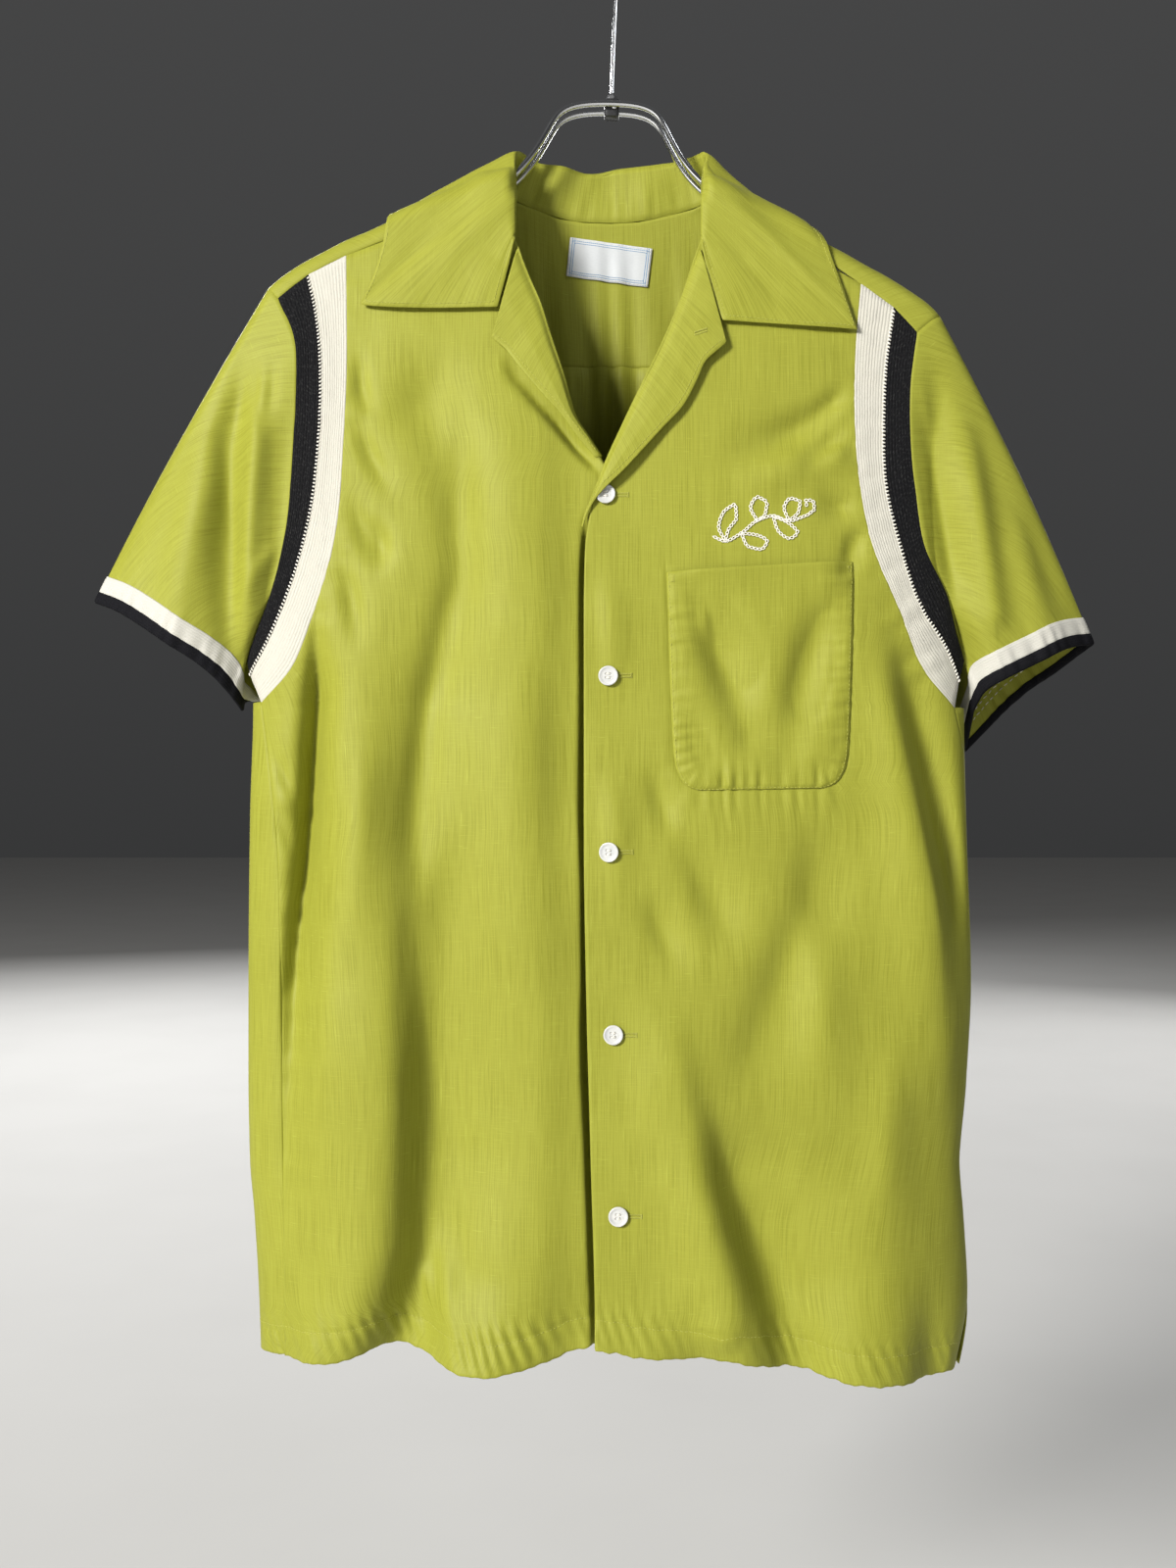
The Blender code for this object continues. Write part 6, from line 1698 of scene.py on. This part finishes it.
PICOT_SHARES = np.linspace(0, 1, 400)
runs = []
for inner, middle, outer in bands.values():
    line = front_points(resampled(middle, PICOT_SHARES))
    arc = lengths(line)
    across = unit(resampled(outer, PICOT_SHARES) - resampled(inner, PICOT_SHARES))
    across = np.insert(across, 1, 0, axis=1)
    out = front_normals(line[:, 0], line[:, 2], 2)
    for s in np.arange(1.0, arc[-1] - 1, RIB):
        n, way = point_at(s, arc, out), point_at(s, arc, across)
        p = point_at(s, arc, line) + n * 0.8
        runs.append((p - way * 0.8, p + way * 1.5, n, 0.6, 0.2))
stitches("picot", runs, WHITE_THREAD)

# Running stitches inside the backs of the sleeves

runs = []
for sleeve in sleeves.values():
    for depth in (16.5, 12.5):
        line = sleeve.layer([(depth, -CLOTH / 2 - 0.2)])[0][sleeve.share > 1.03]
        inward = unit(sleeve.row(depth).mean(axis=0) - line)
        runs += stitch_row(line, inward, 4.6, 2.9, 0.36, 0.3, 0.2)
stitches("sleeve_hem_stitches", runs, WHITE_THREAD)

# Buttons, their threads and the buttonholes

BUTTON_HOLE = 1.2  # from the button's middle, across and up
# Button's face from its middle to its rim and round to its back: radius, height. The face is
# close rings out to BUTTON_DISH, for the holes.
BUTTON_DISH = 3.4
BUTTON_RIM = [(3.8, 0.56), (4.2, 0.62), (4.6, 0.785), (4.9, 0.95), (5.2, 1.035), (5.5, 1.12), (5.8, 1.06),
              (6.0, 1.0), (6.1, 0.55), (6.05, -0.2), (5.7, -0.75), (5.0, -1.0)]


def button_axes(axis):
    """Unit vectors across and up a button's face."""
    side = unit(np.cross(axis, (0.0, 0.0, 1.0)))
    return side, np.cross(axis, side)


def button_mesh(centre, axis):
    """A button with a rim, a shallow dish and four holes."""
    side, other = button_axes(axis)
    outline = [(ring, 0.5) for ring in np.linspace(0, BUTTON_DISH, 22)[1:]] + BUTTON_RIM
    steps = 72
    points = [centre + axis * 0.5]
    for ring, high in outline:
        for turn in np.arange(steps) * 2 * math.pi / steps:
            u, v = ring * math.cos(turn), ring * math.sin(turn)
            away = math.hypot(abs(u) - BUTTON_HOLE, abs(v) - BUTTON_HOLE)
            dip = float(np.clip((0.8 - away) / 0.35, 0, 1)) if ring <= BUTTON_DISH else 0.0
            points.append(centre + side * u + other * v + axis * (high - 0.9 * dip))
    points.append(centre - axis * 1.0)
    faces = []
    last = 1 + (len(outline) - 1) * steps
    for k in range(steps):
        n = (k + 1) % steps
        faces += [(0, 1 + k, 1 + n), (last + n, last + k, len(points) - 1)]
    for ring in range(1, last, steps):
        faces += [(b, a, d, c) for a, b, c, d in band_faces(ring, ring + steps, steps)]
    return np.array(points), faces


def bar(start, end):
    """One thread of a buttonhole."""
    return start, end, FRONTWARD, 0.3, 0.2


holes = []
threads = []
for number, (x, z) in enumerate(BUTTONS, 1):
    axis = front_normals(x, z, 4)
    centre = np.array([x, float(front_fine(x, z)), z]) + axis * (CLOTH / 2 + 1.5)
    points, faces = button_mesh(centre, axis)
    item = add_mesh(f"button_{number}_shell", points, faces, PEARL)
    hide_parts(f"button_{number}")
    side, other = button_axes(axis)
    for up in (-BUTTON_HOLE, BUTTON_HOLE):
        for shift in (-0.28, 0.0, 0.28):
            p = centre + other * (up + shift) + axis * 0.55
            threads.append((p - side * 1.5, p + side * 1.5, axis, 0.22, 0.25))
    raised = np.array([0, -0.5, 0])
    for at in x - 2 + np.arange(26) * 0.62:
        for way in (-1, 1):
            start, end = front_points([(at, z + way * 0.25), (at, z + way * 1.45)]) + raised
            holes.append(bar(start, end))
    for k in range(5):
        p = front_points([x + 14.2, z - 1.3 + k * 0.65]) + raised
        holes.append(bar(p - (0.6, 0, 0), p + (0.7, 0, 0)))
on_lapel = lapels[1].reshape(-1, 3)
for k in range(13):
    x, z = 51.4 + k * 0.62, -296.5 + k * 0.2
    y = on_lapel[np.argmin(np.hypot(on_lapel[:, 0] - x, on_lapel[:, 2] - z)), 1] - CLOTH / 2 - 0.1
    holes += [bar((x, y, z + way * 0.25), (x, y, z + way * 1.5)) for way in (-1, 1)]
stitches("button_threads", threads, WHITE_THREAD)
stitches("buttonholes", holes, LIME_THREAD)

# The embroidered sprig: chain stitches along a stem, its leaves and a curl

SPRIG = [
    [(62, -424), (70, -427), (80, -422), (90, -414), (100, -411), (110, -414), (122, -410)],
    [(70, -427), (66, -418), (69, -409), (76, -404), (77, -412), (72, -420), (70, -427)],
    [(80, -422), (84, -430), (92, -432), (96, -427), (89, -423), (80, -422)],
    [(90, -414), (86, -406), (90, -399.5), (96, -403), (95, -410), (90, -414)],
    [(100, -411), (103, -420), (110, -425), (115, -421), (109, -415), (100, -411)],
    [(110, -414), (107, -406), (111, -400), (117, -402), (116, -408), (110, -414)],
    [(122, -410), (126, -406), (125, -401), (121, -401), (121, -404)],
]
LINK = 2.5  # length of one chain stitch
# One stitch's thread, a loop round its own line: along, aside
LINK_LOOP = [(0, 0), (0.7, 0.3), (1.5, 0.72), (2.3, 0.8), (2.9, 0.45), (3.1, 0), (2.9, -0.45),
             (2.3, -0.8), (1.5, -0.72), (0.7, -0.3)]
LINK_THREAD = 0.34


def chain(lines):
    """Points and faces of chain stitches, each a loop of thread that lies on the front."""
    points, faces = [], []
    total, sides = len(LINK_LOOP), 6
    for line in lines:
        flat = eased_rows(line, np.linspace(0, len(line) - 1, 160))
        arc = lengths(flat)
        count = max(2, int(round(arc[-1] / LINK)))
        for k in range(count):
            s = (k + 0.1) * arc[-1] / count
            p = point_at(s, arc, flat)
            way = unit(point_at(s + 1.6, arc, flat) - p)
            cross = np.array([-way[1], way[0]])
            base = len(points)
            for j, (u, v) in enumerate(LINK_LOOP):
                spot = p + way * u + cross * v
                run = unit(np.subtract(LINK_LOOP[(j + 1) % total], LINK_LOOP[j - 1]))
                ahead = way * run[0] + cross * run[1]
                aside = np.array([-ahead[1], ahead[0]])
                lift = CLOTH / 2 + 0.3 + 0.25 * math.sin(math.pi * u / LINK_LOOP[5][0])
                y = float(front_fine(spot[0], spot[1])) - lift
                for turn in np.arange(sides) * 2 * math.pi / sides:
                    x, z = spot + aside * LINK_THREAD * math.cos(turn)
                    points.append((x, y - LINK_THREAD * math.sin(turn), z))
            for j in range(total):
                faces += band_faces(base + j * sides, base + (j + 1) % total * sides, sides)
    return np.array(points), faces


points, faces = chain(SPRIG)
add_mesh("sprig_chain_stitch", points, faces, WHITE_THREAD)

# Border and stitches of the label: insets, height over its middle, then pitch, length, radius,
# arch and wobble

for name, look, insets, lift, shape in (
    ("label_border", BLUE_THREAD, (1.8, 3.2), 0.22, (1.3, 1.25, 0.22, 0.02, 0.0)),
    ("label_stitches", WHITE_THREAD, (0.8,), 0.25, (2.4, 1.7, 0.16, 0.1, 0.1)),
):
    runs = []
    for inset in insets:
        for line in (inset_path(label, inset), inset_path(label[::-1], inset)):
            runs += stitch_row(line - (0, lift, 0), FRONTWARD, *shape)
    stitches(name, runs, look, sides=4)

# Hanger


def hanger_path():
    """The frame's two wires, one behind the other, and the bends that join their ends."""
    front = along(WIRE, np.linspace(0, 1, 260))
    for _ in range(12):
        front[1:-1] = (front[:-2] + 2 * front[1:-1] + front[2:]) / 4
    bend = np.radians(np.arange(-80, 81, 10))
    path = [(x, -WIRE_Y, z) for x, z in front]
    for (x, z), way in ((front[-1], 1), (front[0], -1)):
        path += [(x + way * WIRE_Y * 0.8 * math.cos(turn), way * WIRE_Y * math.sin(turn),
                  z - 5.5 * math.cos(turn)) for turn in bend]
        if way > 0:
            path += [(x, WIRE_Y, z) for x, z in front[::-1]]
    return path


def hook_path():
    path = [(x, 0, z) for x, z in along(SHANK, np.linspace(0, 1, 60))]
    for turn in np.radians(np.arange(-30, 212, 3)):
        path.append((HOOK_BEND * math.cos(turn), 0, HOOK_CENTRE_Z + HOOK_BEND * math.sin(turn)))
    return path


frame_wire = tube("hanger_wire", hanger_path(), WIRE_RADIUS, CHROME, True)
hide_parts("hanger_frame")
hook_wire = tube("hanger_hook_wire", hook_path(), HOOK_RADIUS, CHROME, False)
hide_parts("hanger_hook")
points, faces = turned(NUT, 6, (0.3, 0, -130), (0, 0, 1))
item = add_mesh("hanger_hex_nut", points, faces, CHROME, smooth=False)
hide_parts("hanger_nut")
block = []
steps = 32
for z, grow in CLIP_BLOCK:
    for turn in (np.arange(steps) + 0.5) * 2 * math.pi / steps:
        c, s = math.cos(turn), math.sin(turn)
        x = math.copysign(abs(c) ** 0.4, c) * (4.8 + grow)
        y = math.copysign(abs(s) ** 0.4, s) * (4.7 + grow)
        block.append((x, y, z))
faces = [tuple(range(steps))[::-1], tuple(range(3 * steps, 4 * steps))]
for ring in range(0, 3 * steps, steps):
    faces += band_faces(ring, ring + steps, steps)
item = add_mesh("hanger_clip_block", block, faces, DARK_CLIP)
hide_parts("hanger_block")
points, faces = turned(SCREW, 24, (1.7, -4.9, -140.5), FRONTWARD)
add_mesh("hanger_screw", points, faces, CHROME)

# Studio

bpy.ops.mesh.primitive_plane_add(size=30, location=(0, 0, -1.35))
floor = bpy.context.object
floor.name = "floor"
floor.data.materials.append(FLOOR)

world = bpy.data.worlds.new("studio")
bpy.context.scene.world = world
world.use_nodes = True
sky = world.node_tree
blend = sky.nodes.new("ShaderNodeMix")
blend.data_type = "RGBA"
blend.inputs[6].default_value = (0.34, 0.35, 0.36, 1)
blend.inputs[7].default_value = (1.0, 1.0, 1.0, 1)
place = sky.nodes.new("ShaderNodeTexCoord")
split = sky.nodes.new("ShaderNodeSeparateXYZ")
share = sky.nodes.new("ShaderNodeMapRange")
share.inputs[1].default_value = -0.3
share.inputs[2].default_value = 0.9
background = sky.nodes["Background"]
background.inputs[1].default_value = 0.08
sky.links.new(place.outputs["Generated"], split.inputs[0])
sky.links.new(split.outputs[2], share.inputs[0])
sky.links.new(share.outputs[0], blend.inputs[0])
sky.links.new(blend.outputs[2], background.inputs[0])


def soft_light(name, place, power, size, colour=(1, 1, 1)):
    """A round lamp aimed at the middle of the shirt."""
    data = bpy.data.lights.new(name, "AREA")
    data.shape = "DISK"
    data.size = size
    data.energy = power
    data.color = colour
    lamp = bpy.data.objects.new(name, data)
    bpy.context.scene.collection.objects.link(lamp)
    lamp.location = place
    aim = mathutils.Vector((0, 0, -0.5)) - lamp.location
    lamp.rotation_euler = aim.to_track_quat("-Z", "Y").to_euler()


soft_light("key", (-3.8, -4.5, 1.7), 575, 1.6, (1, 0.985, 0.96))
soft_light("fill", (1.9, -2.0, 1.5), 16, 1.0, (0.95, 0.98, 1))
soft_light("back_left", (-1.8, 4.6, 1.8), 205, 1.2)
soft_light("back_right", (2.4, 4.2, 0.4), 40, 1.2)

camera_data = bpy.data.cameras.new("camera")
camera_data.sensor_fit = "VERTICAL"
camera_data.sensor_height = 36
camera_data.lens = 35
camera = bpy.data.objects.new("camera", camera_data)
bpy.context.scene.collection.objects.link(camera)
camera.location = (-0.0153, -0.989, -0.578)
camera.rotation_euler = (math.pi / 2, 0, 0)
bpy.context.scene.camera = camera
bpy.context.scene.view_settings.view_transform = "Standard"
